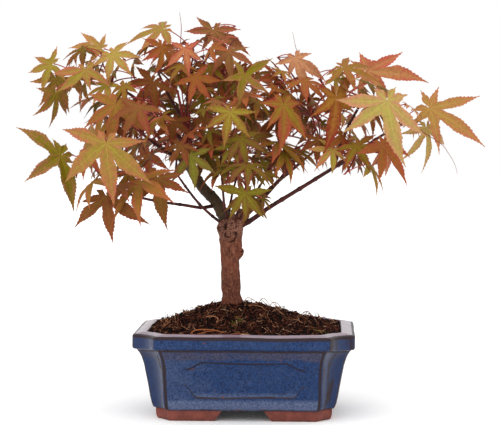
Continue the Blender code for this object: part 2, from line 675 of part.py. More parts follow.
def box(x_low, x_high, y_low, y_high, z_low, z_high, top_share=1.0):
    """A block in millimetres, whose top may be narrower along X than its foot."""
    middle, half = (x_low + x_high) / 2, (x_high - x_low) / 2
    rings = []
    for z, share in ((z_low, 1.0), (z_high, top_share)):
        corners = ((-half * share, y_low), (half * share, y_low), (half * share, y_high), (-half * share, y_high))
        rings.append([point(middle + x, y, z) for x, y in corners])
    return stack(rings)


def turned(shape):
    """The same shape, a quarter turn about Z."""
    points, faces = shape
    return [Vector((-p.y, p.x, p.z)) for p in points], faces


def drain(x):
    line = [point(x, 0, FOOT_HEIGHT - 3), point(x, 0, FOOT_HEIGHT + FLOOR_THICK + 3)]
    return tube(line, [DRAIN_RADIUS * MM] * 2, 12)


def build_pot(finish):
    rings = [pot_outline(inset, z) for z, inset in BODY_PROFILE]
    rings += rim_rings()
    rings += [inner_ring(30), inner_ring(FOOT_HEIGHT + FLOOR_THICK)]
    pot = make_object("pot", stack(rings), finish)
    foot = make_object("foot", stack([
        pot_outline(FOOT_INSET + 2.5, 0), pot_outline(FOOT_INSET, 3.5), pot_outline(FOOT_INSET, FOOT_HEIGHT + 2)]))
    reach, low, high = 200, -5, FOOT_HEIGHT
    inset = FOOT_INSET + FOOT_THICK
    top_share = ARCH_WIDTH_TOP / ARCH_WIDTH_FOOT
    arch = ARCH_WIDTH_FOOT / 2 * (1 + (1 - top_share) * -low / (high - low))
    side_arch = arch * SIDE_ARCH_SHARE
    cutters = [
        box(-POT_WIDTH / 2 + inset, POT_WIDTH / 2 - inset, -POT_DEPTH / 2 + inset, POT_DEPTH / 2 - inset, low, high),
        box(-arch, arch, -reach, reach, low, high, top_share),
        turned(box(-side_arch, side_arch, -reach, reach, low, high, top_share)),
    ]
    combine(foot, [make_object("cutter", shape) for shape in cutters], "DIFFERENCE")
    combine(pot, [foot], "UNION")
    combine(pot, [make_object("cutter", drain(x)) for x in (-DRAIN_OFFSET, DRAIN_OFFSET)], "DIFFERENCE")
    return pot


def lumps(x, y):
    """How far the mound's lumps and dips rise here, in millimetres."""
    return sum(high * math.sin(math.tau * x / along + start) * math.sin(math.tau * y / across + 2 * start)
               for high, along, across, start in SOIL_WAVES)


def with_face_points(ring):
    """The same outline with more points along the pot's faces."""
    points = []
    for i, corner in enumerate(ring):
        steps = SOIL_FACE_POINTS.get(i, 0) + 1
        points += [corner.lerp(ring[(i + 1) % len(ring)], step / steps) for step in range(steps)]
    return points


def build_soil(finish):
    """A body that fills the pot 0.3 mm clear of it, under a lumpy mound whose flat top carries the trunk."""
    floor = FOOT_HEIGHT + FLOOR_THICK + GAP / MM

    def inside(height):
        ring = inner_ring(height)
        middle = Vector((0, 0, height * MM))
        return with_face_points([p - (p - middle).normalized() * 2 * GAP for p in ring])

    rings = [inside(floor), inside(30), inside(SOIL_EDGE - 4), inside(SOIL_EDGE - 0.5)]
    rim = rings[-1]
    _, foot_x, foot_radius = TRUNK_PROFILE[0]
    top_radius = (foot_radius + SOIL_REST) * MM
    foot = point(foot_x, 0, 0)
    for i in range(1, SOIL_STEPS + 1):
        share = i / SOIL_STEPS
        fade = min(1, SOIL_FADE * share, SOIL_FADE * (1 - share))
        ring = []
        for corner in rim:
            way = Vector((corner.x - foot.x, corner.y - foot.y, 0)).normalized()
            place = corner.lerp(foot + way * top_radius, share)
            lump = fade * lumps(place.x / MM, place.y / MM)
            ring.append(Vector((place.x, place.y, (SOIL_EDGE + (SOIL_TOP - SOIL_EDGE) * share + lump) * MM)))
        rings.append(ring)
    return make_object("soil", stack(rings), finish)


# The trunk and its limbs


def trunk_shape(grow=0.0):
    line = [point(x, 0, z) for z, x, _ in TRUNK_PROFILE]
    radii = [(r + grow) * MM for _, _, r in TRUNK_PROFILE]
    if grow:
        line[-1] = line[-1] + UP * grow * MM
        line[0] = line[0] - UP * grow * MM
    return tube(line, radii, TRUNK_SIDES, TRUNK_DEPTH_SHARE)


def knob_shape(knob, grow=0.0):
    first, last, wide, narrow = knob
    first, last = point(*first), point(*last)
    last = last + (last - first).normalized() * grow * MM
    middle = first.lerp(last, 0.6)
    return tube([first, middle, last], [(wide + grow) * MM, (0.92 * wide + grow) * MM, (narrow + grow) * MM], 8)


def build_trunk(name, grow=0.0, finish=None):
    trunk = make_object(name, trunk_shape(grow), finish)
    return combine(trunk, [make_object("knob", knob_shape(knob, grow)) for knob in KNOBS], "UNION")


def limb_line(name):
    return smooth_route([point(*p) for p in LIMBS[name][3]], LIMB_STEPS_PER_SPAN)


def limb_shape(name, line, grow=0.0):
    _, foot, tip, _ = LIMBS[name]
    return tube(line, [r + grow * MM for r in taper(foot * MM, tip * MM, len(line))], LIMB_SIDES)


def build_limbs(lines, finish):
    """Each limb is cut clear of the trunk and of the limbs before it."""
    made = {}
    for name, line in lines.items():
        made[name] = make_object(name, limb_shape(name, line), finish)
        cutters = [build_trunk("cutter", GAP / MM)]
        before = [other for other in made if other != name]
        cutters += [make_object("cutter", limb_shape(other, lines[other], GAP / MM)) for other in before]
        combine(made[name], cutters, "DIFFERENCE")
        keep_one_body(made[name])
    return made


def build_mass(mass, finish):
    stem = make_object(mass.name, tube(*mass.twigs[0], TWIG_SIDES), finish)
    others = [make_object("twig", tube(*twig, TWIG_SIDES)) for twig in mass.twigs[1:]]
    others += [make_object("leaf", leaf.shape(stalk)) for leaf, stalk in mass.leaves]
    combine(stem, others, "UNION", "MANIFOLD")
    keep_one_body(stem)
    return stem


def centre_on_origin(things):
    """Moves everything so that the origin is under the middle of the whole plant's box."""
    corners = [thing.matrix_world @ Vector(corner) for thing in things for corner in thing.bound_box]
    low, high = Vector(map(min, *corners)), Vector(map(max, *corners))
    shift = Vector((-(low.x + high.x) / 2, -(low.y + high.y) / 2, -low.z))
    for thing in things:
        thing.data.transform(thing.matrix_world)
        for corner in thing.data.vertices:
            corner.co += shift


def main():
    for thing in list(bpy.data.objects):
        bpy.data.objects.remove(thing, do_unlink=True)
    bark = material("bark", (0.23, 0.13, 0.09), 0.85)
    young_bark = material("young_bark", (0.11, 0.05, 0.04), 0.6)
    glaze = material("blue_glaze", (0.05, 0.12, 0.27), 0.2)
    earth = material("earth", (0.06, 0.035, 0.02), 0.95)
    leaves = material("leaves", (0.38, 0.23, 0.08), 0.6)

    pot = build_pot(glaze)
    soil = build_soil(earth)
    trunk = build_trunk("trunk", finish=bark)
    lines = {name: limb_line(name) for name in LIMBS}
    limbs = build_limbs(lines, young_bark)

    crown = grow_crown(lines)
    masses = [build_mass(mass, leaves) for mass in crown.values()]
    centre_on_origin([pot, soil, trunk, *limbs.values(), *masses])


main()
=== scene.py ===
"""Dresses a packed bonsai maple: fine leaves, twigs, bark, glaze and earth on the fixed solids.

Lengths are written in millimetres and built in metres, +Z up, with the pot's front towards -Y. The crown
grows in the plan of the plant, round the middle of its pot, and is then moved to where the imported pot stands.
"""

import itertools
import json
import math
import random

import bmesh
import bpy
import numpy as np
from mathutils import Matrix, Vector
from mathutils.bvhtree import BVHTree
from mathutils.geometry import interpolate_bezier

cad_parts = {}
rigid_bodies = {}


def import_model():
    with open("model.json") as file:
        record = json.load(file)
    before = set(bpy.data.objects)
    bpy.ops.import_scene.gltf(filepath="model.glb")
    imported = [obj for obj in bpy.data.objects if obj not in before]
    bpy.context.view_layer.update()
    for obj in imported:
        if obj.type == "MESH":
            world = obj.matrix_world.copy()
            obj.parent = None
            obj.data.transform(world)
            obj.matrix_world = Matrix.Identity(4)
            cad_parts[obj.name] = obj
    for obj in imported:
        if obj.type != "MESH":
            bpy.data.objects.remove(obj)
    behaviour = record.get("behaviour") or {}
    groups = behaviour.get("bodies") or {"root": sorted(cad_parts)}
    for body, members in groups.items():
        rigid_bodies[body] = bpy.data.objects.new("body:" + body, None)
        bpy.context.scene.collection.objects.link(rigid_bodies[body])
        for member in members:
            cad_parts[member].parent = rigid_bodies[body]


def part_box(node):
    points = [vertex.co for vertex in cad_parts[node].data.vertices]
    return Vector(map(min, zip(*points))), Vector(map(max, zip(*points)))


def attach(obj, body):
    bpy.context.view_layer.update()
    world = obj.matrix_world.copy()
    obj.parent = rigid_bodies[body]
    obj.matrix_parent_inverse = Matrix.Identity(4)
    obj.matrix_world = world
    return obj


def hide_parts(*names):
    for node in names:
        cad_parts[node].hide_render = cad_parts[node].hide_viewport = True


MM = 0.001
GAP = 0.3 * MM
UP = Vector((0, 0, 1))

# The pot: overall sizes, its notched corners, and its wall from the foot to the rim
POT_WIDTH, POT_DEPTH, POT_HEIGHT = 155, 120, 60
NOTCH_ACROSS, NOTCH_BACK, NOTCH_STEP, STEP_SLANT = 17, 19, 3.2, 0.5
FOOT_NOTCH_SHARE, INNER_NOTCH_SHARE = 0.52, 0.8
FOOT_HEIGHT, FOOT_INSET, FOOT_THICK = 7.5, 15.8, 13
SIDE_ARCH_SHARE = 0.72
RIM_HEIGHT, RIM_WIDTH = 9.5, 10
WALL, FLOOR_THICK = 6, 6
DRAIN_RADIUS, DRAIN_OFFSET = 6, 32
BODY_INSET = 13.1  # how far the outer wall stands in from the rim's edge, just over its foot

# The soil: level with the rim at its edge, and mounded to the foot of the trunk
SOIL_EDGE, SOIL_TOP = 59.0, 77.0
SOIL_REST = 2.5
# Its lumps, as (height, length of the wave along X and along Y, where it starts), and how soon they fade
SOIL_WAVES = ((1.0, 34, 41, 0.4), (0.8, 23, 52, 2.1), (0.7, 57, 27, 4.0))
SOIL_FADE = 6

# The trunk, as (height, x of its middle, radius), and the knobs that old cuts left on it
TRUNK_PROFILE = (
    (77.3, -9.7, 9.2), (79.0, -9.7, 8.3), (82.5, -10.2, 7.6), (89.0, -11.0, 7.0), (98.0, -11.2, 6.8),
    (107.0, -11.2, 6.9), (115.0, -11.2, 7.4), (123.0, -11.0, 8.2), (130.0, -10.8, 8.8), (136.0, -10.2, 8.9),
    (139.5, -9.6, 7.6), (141.5, -9.2, 5.0),
)
TRUNK_SIDES, TRUNK_DEPTH_SHARE = 12, 0.94
KNOBS = (  # (from, to, radius at the foot, radius at the end)
    ((-8.0, 0, 112.0), (-3.2, -2.2, 116.5), 4.4, 2.2),
    ((-8.5, 1, 133.0), (-1.2, 1.5, 143.6), 5.2, 3.4),
    ((-12.0, -2, 126.0), (-12.5, -9.6, 127.5), 5.0, 3.2),
    ((-13.0, 0, 130.0), (-19.8, -3.0, 131.0), 3.4, 2.2),
)

# Each limb: what carries it, its radius at the foot and at the tip, and its route from inside its carrier
LIMB_SIDES, LIMB_STEPS_PER_SPAN = 6, 2
LIMBS = {
    "leader": ("trunk", 4.0, 1.35, (
        (-11, 0, 131), (-16, 0, 140), (-24, 0, 149), (-33, 0, 164), (-39, 0, 180), (-41, 1, 196),
         (-42, 2, 211),
        (-42, 2, 221))),
    "bough_low_left": ("leader", 1.25, 0.85, (
        (-23, 0, 147.5), (-32, -6, 146.5), (-43, -13, 148.5), (-57, -22, 151), (-70, -30, 154),
         (-82, -37, 158))),
    "bough_left_front": ("leader", 1.8, 1.1, (
        (-38, 0, 178), (-48, -9, 182), (-57, -22, 188), (-66, -38, 196))),
    "bough_left_top": ("leader", 1.6, 0.9, (
        (-40, 0, 189), (-52, 2, 200), (-66, 2, 213), (-80, -2, 225), (-89, -6, 231))),
    "bough_top_left": ("leader", 1.3, 0.9, (
        (-41, 1, 205), (-50, 7, 216), (-57, 9, 228), (-61, 8, 237))),
    "bough_back_left": ("leader", 1.7, 1.0, (
        (-33, 1, 164), (-44, 18, 174), (-58, 36, 188), (-68, 46, 197))),
    "bough_back_top": ("leader", 1.4, 0.9, (
        (-41, 1, 198), (-35, 16, 210), (-27, 31, 223), (-24, 36, 228))),
    "shoot_left_inner": ("trunk", 1.1, 0.8, (
        (-13, -2, 132), (-22, -5.5, 139), (-32, -10, 148.5), (-40, -15, 159), (-45, -21, 167))),
    "shoot_centre": ("trunk", 0.95, 0.75, (
        (-12, -3, 136), (-14.5, -11, 146), (-16, -18, 168), (-16.5, -21, 190), (-15, -23, 201))),
    "shoot_low_front": ("trunk", 1.0, 0.8, (
        (-8, -3, 135), (-5.5, -13, 143), (-2, -25, 153), (0, -31, 158))),
    "bough_right": ("trunk", 1.9, 1.15, (
        (-8, -1, 131), (4.5, -3.5, 138), (18, -7, 147.5), (39, -11, 160.5), (63, -15, 175.5),
         (72, -19.5, 181))),
    "bough_right_top": ("bough_right", 1.35, 0.9, (
        (62, -15, 175), (66.5, -13, 188), (72, -10, 203), (79, -9, 216))),
    "bough_far_right": ("bough_right", 1.25, 0.85, (
        (65, -16, 176.5), (76, -12, 184), (92, -7, 195), (107, -5, 204))),
    "bough_right_steep": ("trunk", 1.5, 1.0, (
        (-7, 2, 134), (3.5, 6, 144), (14, 8, 155), (27, 9, 170), (41, 6, 188), (46, 4, 196))),
    "shoot_right_thin": ("trunk", 0.95, 0.75, (
        (-6, -2, 134), (0.5, -6.5, 147), (9, -10, 160), (18, -15, 175))),
    "bough_back_right": ("trunk", 1.6, 0.95, (
        (-9, 2, 131), (-1, 13, 143), (14, 27, 157), (34, 40, 174), (46, 46, 184))),
    "shoot_back_low": ("trunk", 1.1, 0.8, (
        (-11, 3, 131), (-13, 14, 141), (-12, 29, 153), (-10, 41, 163))),
}

# Each mass of foliage: the limb that carries it, the middle of its space and how far it reaches from there,
# its seed, how many shoots the rule adds, and the leaves that lead its own shoots. A leading leaf is (x, y, z
# of its base, length, heading of its middle lobe in the front view, turn and tilt of its face), and where its
# lobes are uneven they follow as (angle off the middle lobe, share of the length).
MASSES = {
    "foliage_low_left": ("bough_low_left", (-92, -46, 170), (42, 28, 24), 11, 2, (
        (-126, -42, 184, 34, 215, 20, 12, ((-105, 0.4), (-76, 1.1), (0, 0.92), (72, 1.2), (112, 0.3))),
        (-88, -84, 193, 44, 277, -6, 8, ((-117, 0.83), (-60, 0.96), (0, 1.0), (40, 0.96), (86, 0.6))),
        (-91, -62, 157, 32, 277, -5, 10, ((-86, 0.6), (-58, 0.98), (0, 1.0), (48, 1.1), (100, 0.4))),
        (-57, -60, 169, 36, 276, 8, 10, ((-110, 0.55), (-55, 0.75), (0, 1.0), (58, 0.65), (95, 0.5))),
        (-80, -35, 172, 26, 290, 5, 25))),
    "foliage_left_front": ("bough_left_front", (-84, -56, 210), (30, 26, 22), 12, 3, (
        (-85, -60, 219, 34, 262, -4, 12, ((-107, 0.68), (-51, 0.85), (0, 0.95), (58, 0.97), (92, 0.7))),)),
    "foliage_left_top": ("bough_left_top", (-110, -16, 244), (34, 32, 16), 13, 2, (
        (-137, -10, 248, 24, 193, -15, 12, ((-117, 0.6), (-39, 0.72), (0, 0.92), (49, 0.94), (120, 0.7))),
        (-108, -46, 243, 26, 280, 0, 15, ((-94, 0.92), (-59, 1.0), (0, 0.6), (49, 0.84), (125, 0.4))),
        (-104, 4, 260, 25, 172, 5, 20, ((-90, 0.5), (-32, 0.85), (0, 1.0), (60, 0.6), (120, 0.5))),
        (-92, -26, 254, 24, 310, 5, 30), (-133, -24, 228, 27, 270, 62, 0), (-136, -6, 239, 28, 298, 35, 10))),
    "foliage_top_left": ("bough_top_left", (-62, -4, 254), (28, 30, 18), 14, 3, (
        (-59, 0, 273, 31, 203, -10, 58), (-52, -18, 258, 26, 184, 0, 68), (-56, -44, 259, 22, 262, 50, 5),
        (-63, -30, 235, 27, 235, 0, 20))),
    "foliage_top": ("leader", (-32, -4, 252), (26, 32, 20), 15, 3, (
        (-24, 2, 273, 32, 294, -5, 12,
         ((-150, 0.52), (-112, 0.68), (-50, 0.55), (0, 1.0), (36, 1.02), (68, 0.62))),
        (-39, -44, 257, 20, 280, 0, 12, ((-124, 0.65), (-56, 1.0), (0, 0.95), (42, 0.76), (110, 0.6))),
        (-24, -15, 246, 16, 270, 0, 20), (-34, -32, 238, 21, 305, 10, 10))),
    "foliage_centre_front": ("shoot_centre", (-6, -34, 218), (28, 24, 22), 16, 2, (
        (1, -42, 239, 24, 256, 5, 12, ((-135, 0.62), (-62, 0.68), (0, 0.88), (66, 0.9), (138, 1.04))),
        (-8, -60, 214, 26, 262, -5, 15), (4, -10, 210, 20, 262, 0, 10), (-26, -15, 210, 24, 245, -30, 10))),
    "foliage_low_front": ("shoot_low_front", (6, -46, 174), (24, 20, 20), 17, 0, (
        (2, -60, 159, 25, 272, 0, 12, ((-107, 0.95), (-34, 0.85), (0, 0.75), (33, 0.9), (94, 0.8))),
        (9, -36, 169, 22, 350, 0, 66), (-1, -46, 196, 22, 285, 0, 15))),
    "foliage_left_inner": ("shoot_left_inner", (-46, -24, 192), (24, 20, 20), 18, 3, (
        (-36, -42, 184, 25, 282, 5, 15), (-50, -22, 208, 22, 270, 0, 20), (-30, -8, 187, 22, 305, 5, 10))),
    "foliage_right_inner": ("bough_right_steep", (32, -12, 226), (28, 32, 24), 19, 4, (
        (35, -18, 252, 28, 292, 0, 12, ((-93, 0.55), (-42, 0.54), (0, 1.0), (34, 1.0), (86, 0.45))),
        (28, -52, 219, 34, 270, 20, 10, ((-95, 0.5), (-38, 0.62), (0, 1.0), (36, 0.9), (95, 0.4))),
        (24, -12, 212, 26, 225, 0, 15))),
    "foliage_right_low": ("shoot_right_thin", (36, -30, 192), (26, 22, 16), 20, 2, (
        (27, -32, 183, 18, 270, 0, 50), (52, -36, 195, 18, 262, 0, 15))),
    "foliage_right_top": ("bough_right_top", (84, -20, 234), (30, 34, 20), 21, 4, (
        (86, -2, 243, 46, 358, 0, 14, ((-110, 0.4), (-48, 0.6), (0, 1.0), (30, 0.66), (112, 0.34))),
        (64, -42, 224, 40, 261, 20, 8, ((-110, 0.45), (-45, 0.6), (0, 1.0), (60, 0.45), (150, 0.62))),
        (98, -62, 221, 47, 280, -8, 10, ((-100, 0.82), (-64, 0.82), (0, 1.0), (36, 0.75), (100, 0.3))))),
    "foliage_right_front": ("bough_right", (88, -40, 190), (24, 20, 14), 22, 2, (
        (78, -46, 191, 24, 290, 0, 35), (98, -30, 191, 23, 285, 40, 5))),
    "foliage_far_right": ("bough_far_right", (126, 0, 212), (20, 28, 16), 23, 2, (
        (130, -12, 217, 50, 329, 0, 12, ((-105, 0.4), (-44, 0.66), (0, 1.0), (44, 0.8), (100, 0.35))),
        (128, 5, 203, 34, 290, 45, 0))),
    "foliage_back_left": ("bough_back_left", (-80, 56, 212), (40, 38, 34), 24, 7, ()),
    "foliage_back_top": ("bough_back_top", (-30, 46, 238), (38, 34, 24), 25, 7, ()),
    "foliage_back_right": ("bough_back_right", (66, 54, 210), (46, 38, 28), 26, 7, ()),
    "foliage_back_low": ("shoot_back_low", (-8, 62, 182), (40, 26, 22), 27, 4, ()),
}

# A leaf, in shares of its middle lobe: (angle off the middle lobe, length) of the lobes on either side,
# and how far out the blade is whole between one lobe and the next
LOBES = ((0, 1.0), (48, 0.94), (98, 0.74))
SINUSES = (0.31, 0.27)
LOBE_SWAY, LOBE_SPREAD = (-4, 4), (0.93, 1.05)
BASE_SINUS, MIDDLE = 0.06, 0.13
LOBE_WIDEST, LOBE_HALF_WIDTH = 0.52, 0.135
WIDE_BESIDE_MIDDLE, SMALL_LEAF = 1, 22
LEAF_THICK_SHARE, LEAF_FOLD = 0.024, 0.25
LEAF_CURL = (0.15, 0.65)
LEAF_LENGTH = (19, 33)
# A leaf keeps this much more room than it fills, as shares of its length, thickness and stalk's radius
ROOM_ACROSS, ROOM_THICK, ROOM_ROUND = 1.03, 3.0, 1.6

# Stalks and twigs
STALK_SHARE, STALK_LEAST, STALK_MOST, STALK_DROP = 0.72, 13, 27, 1.6
STALK_RADIUS, TWIG_RADIUS, TWIG_TIP_RADIUS = 0.5, 0.85, 0.62
STEM_LENGTH, NODE_SPACING, NODE_LEAST = 7, 24, 8
TWIG_SIDES, TWIG_STEPS = 3, 2
PAIR_SIZE = (0.65, 0.95)
TWIG_LEAST, SHARPEST_FORK, WAYS_TRIED = 4, -0.5, 5
END_SINK, SIDE_SINK = 1.2, 0.3
CROWN_AXIS = (-8, 0)

# How the rule tries a place for a leaf, and what it refuses
TRIES = 10
HEART_CLEAR = 0.35  # an added leaf starts at least this share of the way out from the heart
LEADING_SLACK = 6
SPACE_MARGIN = 1.15
STALK_UNDER_BLADE = 0.4

# Growth beyond the solids' leaves: for each mass (shoots, leaves from along the twigs)
SMALL_LENGTH, SMALL_CLEAR, SMALL_PLACES = (12, 25), 0.1, (0.1, 0.95)
MORE_GROWTH = {
    "foliage_low_left": (4, 10), "foliage_left_front": (5, 10), "foliage_left_top": (5, 8),
    "foliage_top_left": (8, 14), "foliage_top": (4, 8), "foliage_centre_front": (5, 12),
    "foliage_low_front": (4, 8), "foliage_left_inner": (7, 14), "foliage_right_inner": (6, 14),
    "foliage_right_low": (5, 10), "foliage_right_top": (4, 10), "foliage_right_front": (4, 8),
    "foliage_far_right": (1, 2), "foliage_back_left": (6, 12), "foliage_back_top": (6, 12),
    "foliage_back_right": (6, 12), "foliage_back_low": (7, 14),
}

# The fine blade, in shares of its length but for the pitch of its rows, in millimetres, and angles, in
# degrees. A lobe's profile is its width at each share of its length.
ROW_PITCH, ROWS_LEAST, ROWS_MOST = 1.2, 11, 34
LOBE_PROFILE = (
    (0, 0.15, 0.25, 0.35, 0.45, 0.55, 0.65, 0.75, 0.83, 0.9, 0.96, 1),
    (0.42, 0.54, 0.76, 0.95, 1.0, 0.92, 0.72, 0.45, 0.26, 0.14, 0.07, 0),
)
LOBE_SPREAD_FINE = (0.92, 1.06)
FINE_SINUSES = (0.25, 0.2)
SIDE_VEINS, SIDE_VEIN_DEPTH = 62, 0.11
BANDS = (0.0, 0.34, 0.68, 1.0)
BASAL_ROOM, BASAL_STEP, BASAL_LIMIT, BASAL_SHARE = 118, 44, 150, 0.27
OUTER_SIDE = 26
SINUS_ROUND = 0.09
TOOTH, TOOTH_SPREAD, BIG_TOOTH, TOOTH_LEAN = 0.0078, (0.45, 1.35), 0.6, 0.016
LOBE_LEAST, TIP_SHARE, TIP_WIDTH = 0.45, 0.12, 0.004
RIB_WIDTH, RIB_LEAST, RIB_END, RIB_SHARE = 0.0045, 0.0004, 0.88, 0.8
LOBE_BOW, LOBE_HOOK, LOBE_FOLD = 0.10, (0.0, 0.10), (0.18, 0.5)
EDGE_WAVE, WAVE_COUNT = 0.010, 17
LEAF_LIGHT, LEAF_ROUGH, LEAF_GLOSS = np.array((0.78, 0.69, 0.55)), 0.55, 0.08
# A blade's steps of tone run from a little before its middle tint to past its edge's. Each face and each lobe
# strays a little from its own.
TINT_STEPS, TINT_RANGE, TINT_BELOW, TINT_MOTTLE = 9, 1.5, 0.25, 0.06
FACE_SWAY, LOBE_TONE_SWAY = 0.15, 0.16

# The fine stalks and twigs: their steps and sides, and how thick they are. A twig's end swells at its bud.
STALK_STEPS, STALK_SIDES = 7, 5
STALK_PLACES, STALK_RADII = (0, 0.1, 0.85, 1), (0.55, 0.4, 0.36, 0.5)
FINE_TWIG_STEPS, FINE_TWIG_SIDES, TWIG_SLIM, FINE_TWIG_THIN, BUD_SWELL = 10, 7, 0.9, 0.75, 1.25
END_CAP = 0.03
FREE_TWIG_STEPS, FREE_TWIG_TIP = 24, 0.3
STALK_FINISHES = (2, 2, 3)
WOOD_FINISHES = (  # (name, colour, roughness, specular)
    ("twig_dark", (98, 38, 36), 0.55, 0.15), ("twig_red", (126, 46, 40), 0.55, 0.15),
    ("stalk_red", (164, 62, 54), 0.5, 0.2), ("stalk_pink", (190, 92, 78), 0.5, 0.2),
)
# Masses whose leaves are slimmer than the rest
SLIM_LEAVES = {"foliage_far_right": 0.74, "foliage_right_top": 0.92}
# Thin bare stems, each from the nearest twig of its mass, as (route, radius)
FREE_TWIGS = {
    "foliage_top_left": ((((-45.8, -10, 262), (-45.2, -10, 274), (-46.4, -10, 284.5)), 0.42),
                         (((-41.0, -10, 192), (-42.0, -14, 210), (-44.0, -17, 226), (-46.0, -17, 244)), 0.9),
                         (((-41.0, -10, 200), (-45.6, -15, 220), (-51.0, -16, 240)), 0.7)),
    "foliage_right_inner": ((((37.0, -8, 254), (35.4, -6, 260), (33.2, -5, 270.5)), 0.36),),
    "foliage_far_right": ((((136, -14, 193), (142, -17, 186), (147, -19, 177), (149, -20, 167.5)), 0.3),),
    "foliage_top": ((((-31.5, -5, 242), (-30.4, -5, 250), (-29.8, -5, 259)), 0.45),
                    (((-40.4, -10, 196), (-38.4, -16, 218), (-35.0, -17, 238)), 0.8)),
}

# Each tint: its rib, the middle of its blade, and its edge
TINTS = {
    "tan": ((194, 162, 90), (160, 139, 66), (182, 116, 88)),
    "olive_pink": ((172, 146, 70), (136, 118, 44), (174, 116, 92)),
    "rust": ((186, 118, 70), (158, 100, 50), (174, 84, 66)),
    "brown": ((158, 110, 62), (130, 89, 45), (144, 74, 54)),
    "tan_brown": ((180, 132, 72), (152, 116, 50), (170, 98, 68)),
    "sand": ((208, 176, 110), (180, 157, 86), (198, 138, 100)),
    "yellow_green": ((188, 160, 82), (154, 136, 54), (182, 120, 88)),
    # A darker brown for leaves inside and behind the crown: painted shade
    "deep_brown": ((140, 88, 50), (118, 76, 32), (128, 60, 38)),
    "mauve_tan": ((176, 128, 90), (148, 104, 66), (172, 98, 84)),
    "salmon": ((210, 146, 114), (188, 124, 90), (184, 94, 84)),
    "pink": ((208, 136, 106), (182, 112, 84), (182, 88, 78)),
    "olive_brown": ((170, 132, 64), (140, 112, 40), (158, 86, 56)),
    "dull_olive": ((150, 126, 58), (118, 102, 32), (124, 80, 52)),
    "green": ((158, 144, 62), (120, 110, 34), (124, 90, 44)),
    "bright_green": ((164, 156, 80), (124, 122, 46), (126, 98, 54)),
    "pale_green": ((206, 194, 128), (182, 168, 98), (198, 152, 118)),
    "salmon_tan": ((210, 156, 116), (188, 134, 92), (194, 104, 88)),
    "tan_olive": ((204, 160, 106), (180, 142, 82), (194, 122, 96)),
    "lime": ((182, 166, 88), (148, 130, 50), (144, 90, 56)),
    "dark_olive": ((140, 118, 54), (112, 98, 32), (118, 74, 42)),
    "salmon_light": ((214, 166, 136), (198, 144, 112), (190, 114, 98)),
    "ochre": ((182, 130, 70), (158, 110, 46), (142, 68, 42)),
    "mauve_brown": ((162, 118, 98), (138, 98, 76), (140, 74, 76)),
    "apricot": ((210, 158, 116), (190, 140, 90), (198, 126, 104)),
    "pale_olive": ((206, 186, 128), (186, 166, 102), (192, 142, 116)),
    "shade_olive": ((118, 98, 46), (96, 82, 28), (100, 60, 34)),
    "shade_red": ((124, 70, 48), (100, 54, 34), (106, 42, 36)),
}
LEADING_TINTS = {
    "foliage_low_left": ("olive_pink", "tan", "brown", "brown", "tan_brown"),
    "foliage_left_front": ("tan_brown",),
    "foliage_left_top": ("tan", "tan", "sand", "sand", "yellow_green", "tan"),
    "foliage_top_left": ("tan", "rust", "rust", "deep_brown"),
    "foliage_top": ("mauve_tan", "salmon", "olive_brown", "rust"),
    "foliage_centre_front": ("olive_pink", "lime", "salmon_light", "brown"),
    "foliage_low_front": ("green", "dull_olive", "dark_olive"),
    "foliage_left_inner": ("bright_green", "deep_brown", "shade_olive"),
    "foliage_right_inner": ("salmon_light", "olive_brown", "brown"),
    "foliage_right_low": ("mauve_brown", "deep_brown"),
    "foliage_right_top": ("salmon_tan", "ochre", "pale_green"),
    "foliage_right_front": ("olive_brown", "salmon_light"),
    "foliage_far_right": ("tan_olive", "pale_olive"),
}
USUAL_TINTS = (
    "tan_brown", "dark_olive", "dull_olive", "rust", "mauve_brown", "brown", "olive_brown", "deep_brown",
    "pink")
SPRAY_TINTS = {
    "foliage_low_left": ("tan_brown", "rust", "tan", "brown", "mauve_brown"),
    "foliage_left_front": ("brown", "tan_brown", "olive_brown", "rust"),
    "foliage_left_top": ("yellow_green", "tan", "sand", "tan_brown", "tan"),
    "foliage_top_left": ("yellow_green", "tan", "olive_brown", "tan_brown", "dull_olive"),
    "foliage_top": ("mauve_tan", "rust", "olive_brown", "tan_brown"),
    "foliage_centre_front": ("dull_olive", "rust", "tan_brown", "green", "mauve_tan"),
    "foliage_low_front": ("green", "dull_olive", "brown"),
    "foliage_left_inner": ("olive_brown", "dark_olive", "dull_olive", "brown", "rust"),
    "foliage_right_inner": ("dull_olive", "deep_brown", "rust", "olive_brown", "tan_brown"),
    "foliage_right_low": ("deep_brown", "olive_brown", "rust", "dark_olive"),
    "foliage_right_top": ("tan", "ochre", "rust", "tan_brown"),
    "foliage_right_front": ("tan", "rust", "olive_brown", "tan_brown"),
    "foliage_far_right": ("apricot", "tan"),
}

# The trunk's skin, in rows and columns, its round head, and where it is slimmer at its foot, up to a height
NOISE_CELLS = 32
TRUNK_ROWS, TRUNK_COLUMNS, CROWN_ROUND = 230, 170, 7.0
FOOT_SLIM, FOOT_SLIM_TOP = 0.7, 88
# The bark's relief: shares of its plates, cracks and grain, of broad lumps, and its roughness by height
BARK_SHARES, LUMP_SHARE = (0.26, 0.42, 0.12), 0.6
BARK_ROUGH = ((77.3, 112, 124, 141.5), (0.7, 0.8, 1.5, 1.6))
# Swellings as (middle, size, height)
SWELLINGS = (
    ((-3.4, -4.5, 115.8), 4.0, 2.2), ((-12.0, -8.6, 132.0), 4.6, 0.8), ((-18.5, -3.5, 130.5), 4.2, 1.6),
    ((-17.0, -5.0, 136.0), 4.0, 1.0), ((-5.0, -6.0, 135.0), 4.0, 1.0), ((-16.5, -5.0, 121.0), 4.0, 0.5),
    ((-12.0, 8.0, 129.0), 5.0, 1.4),
)
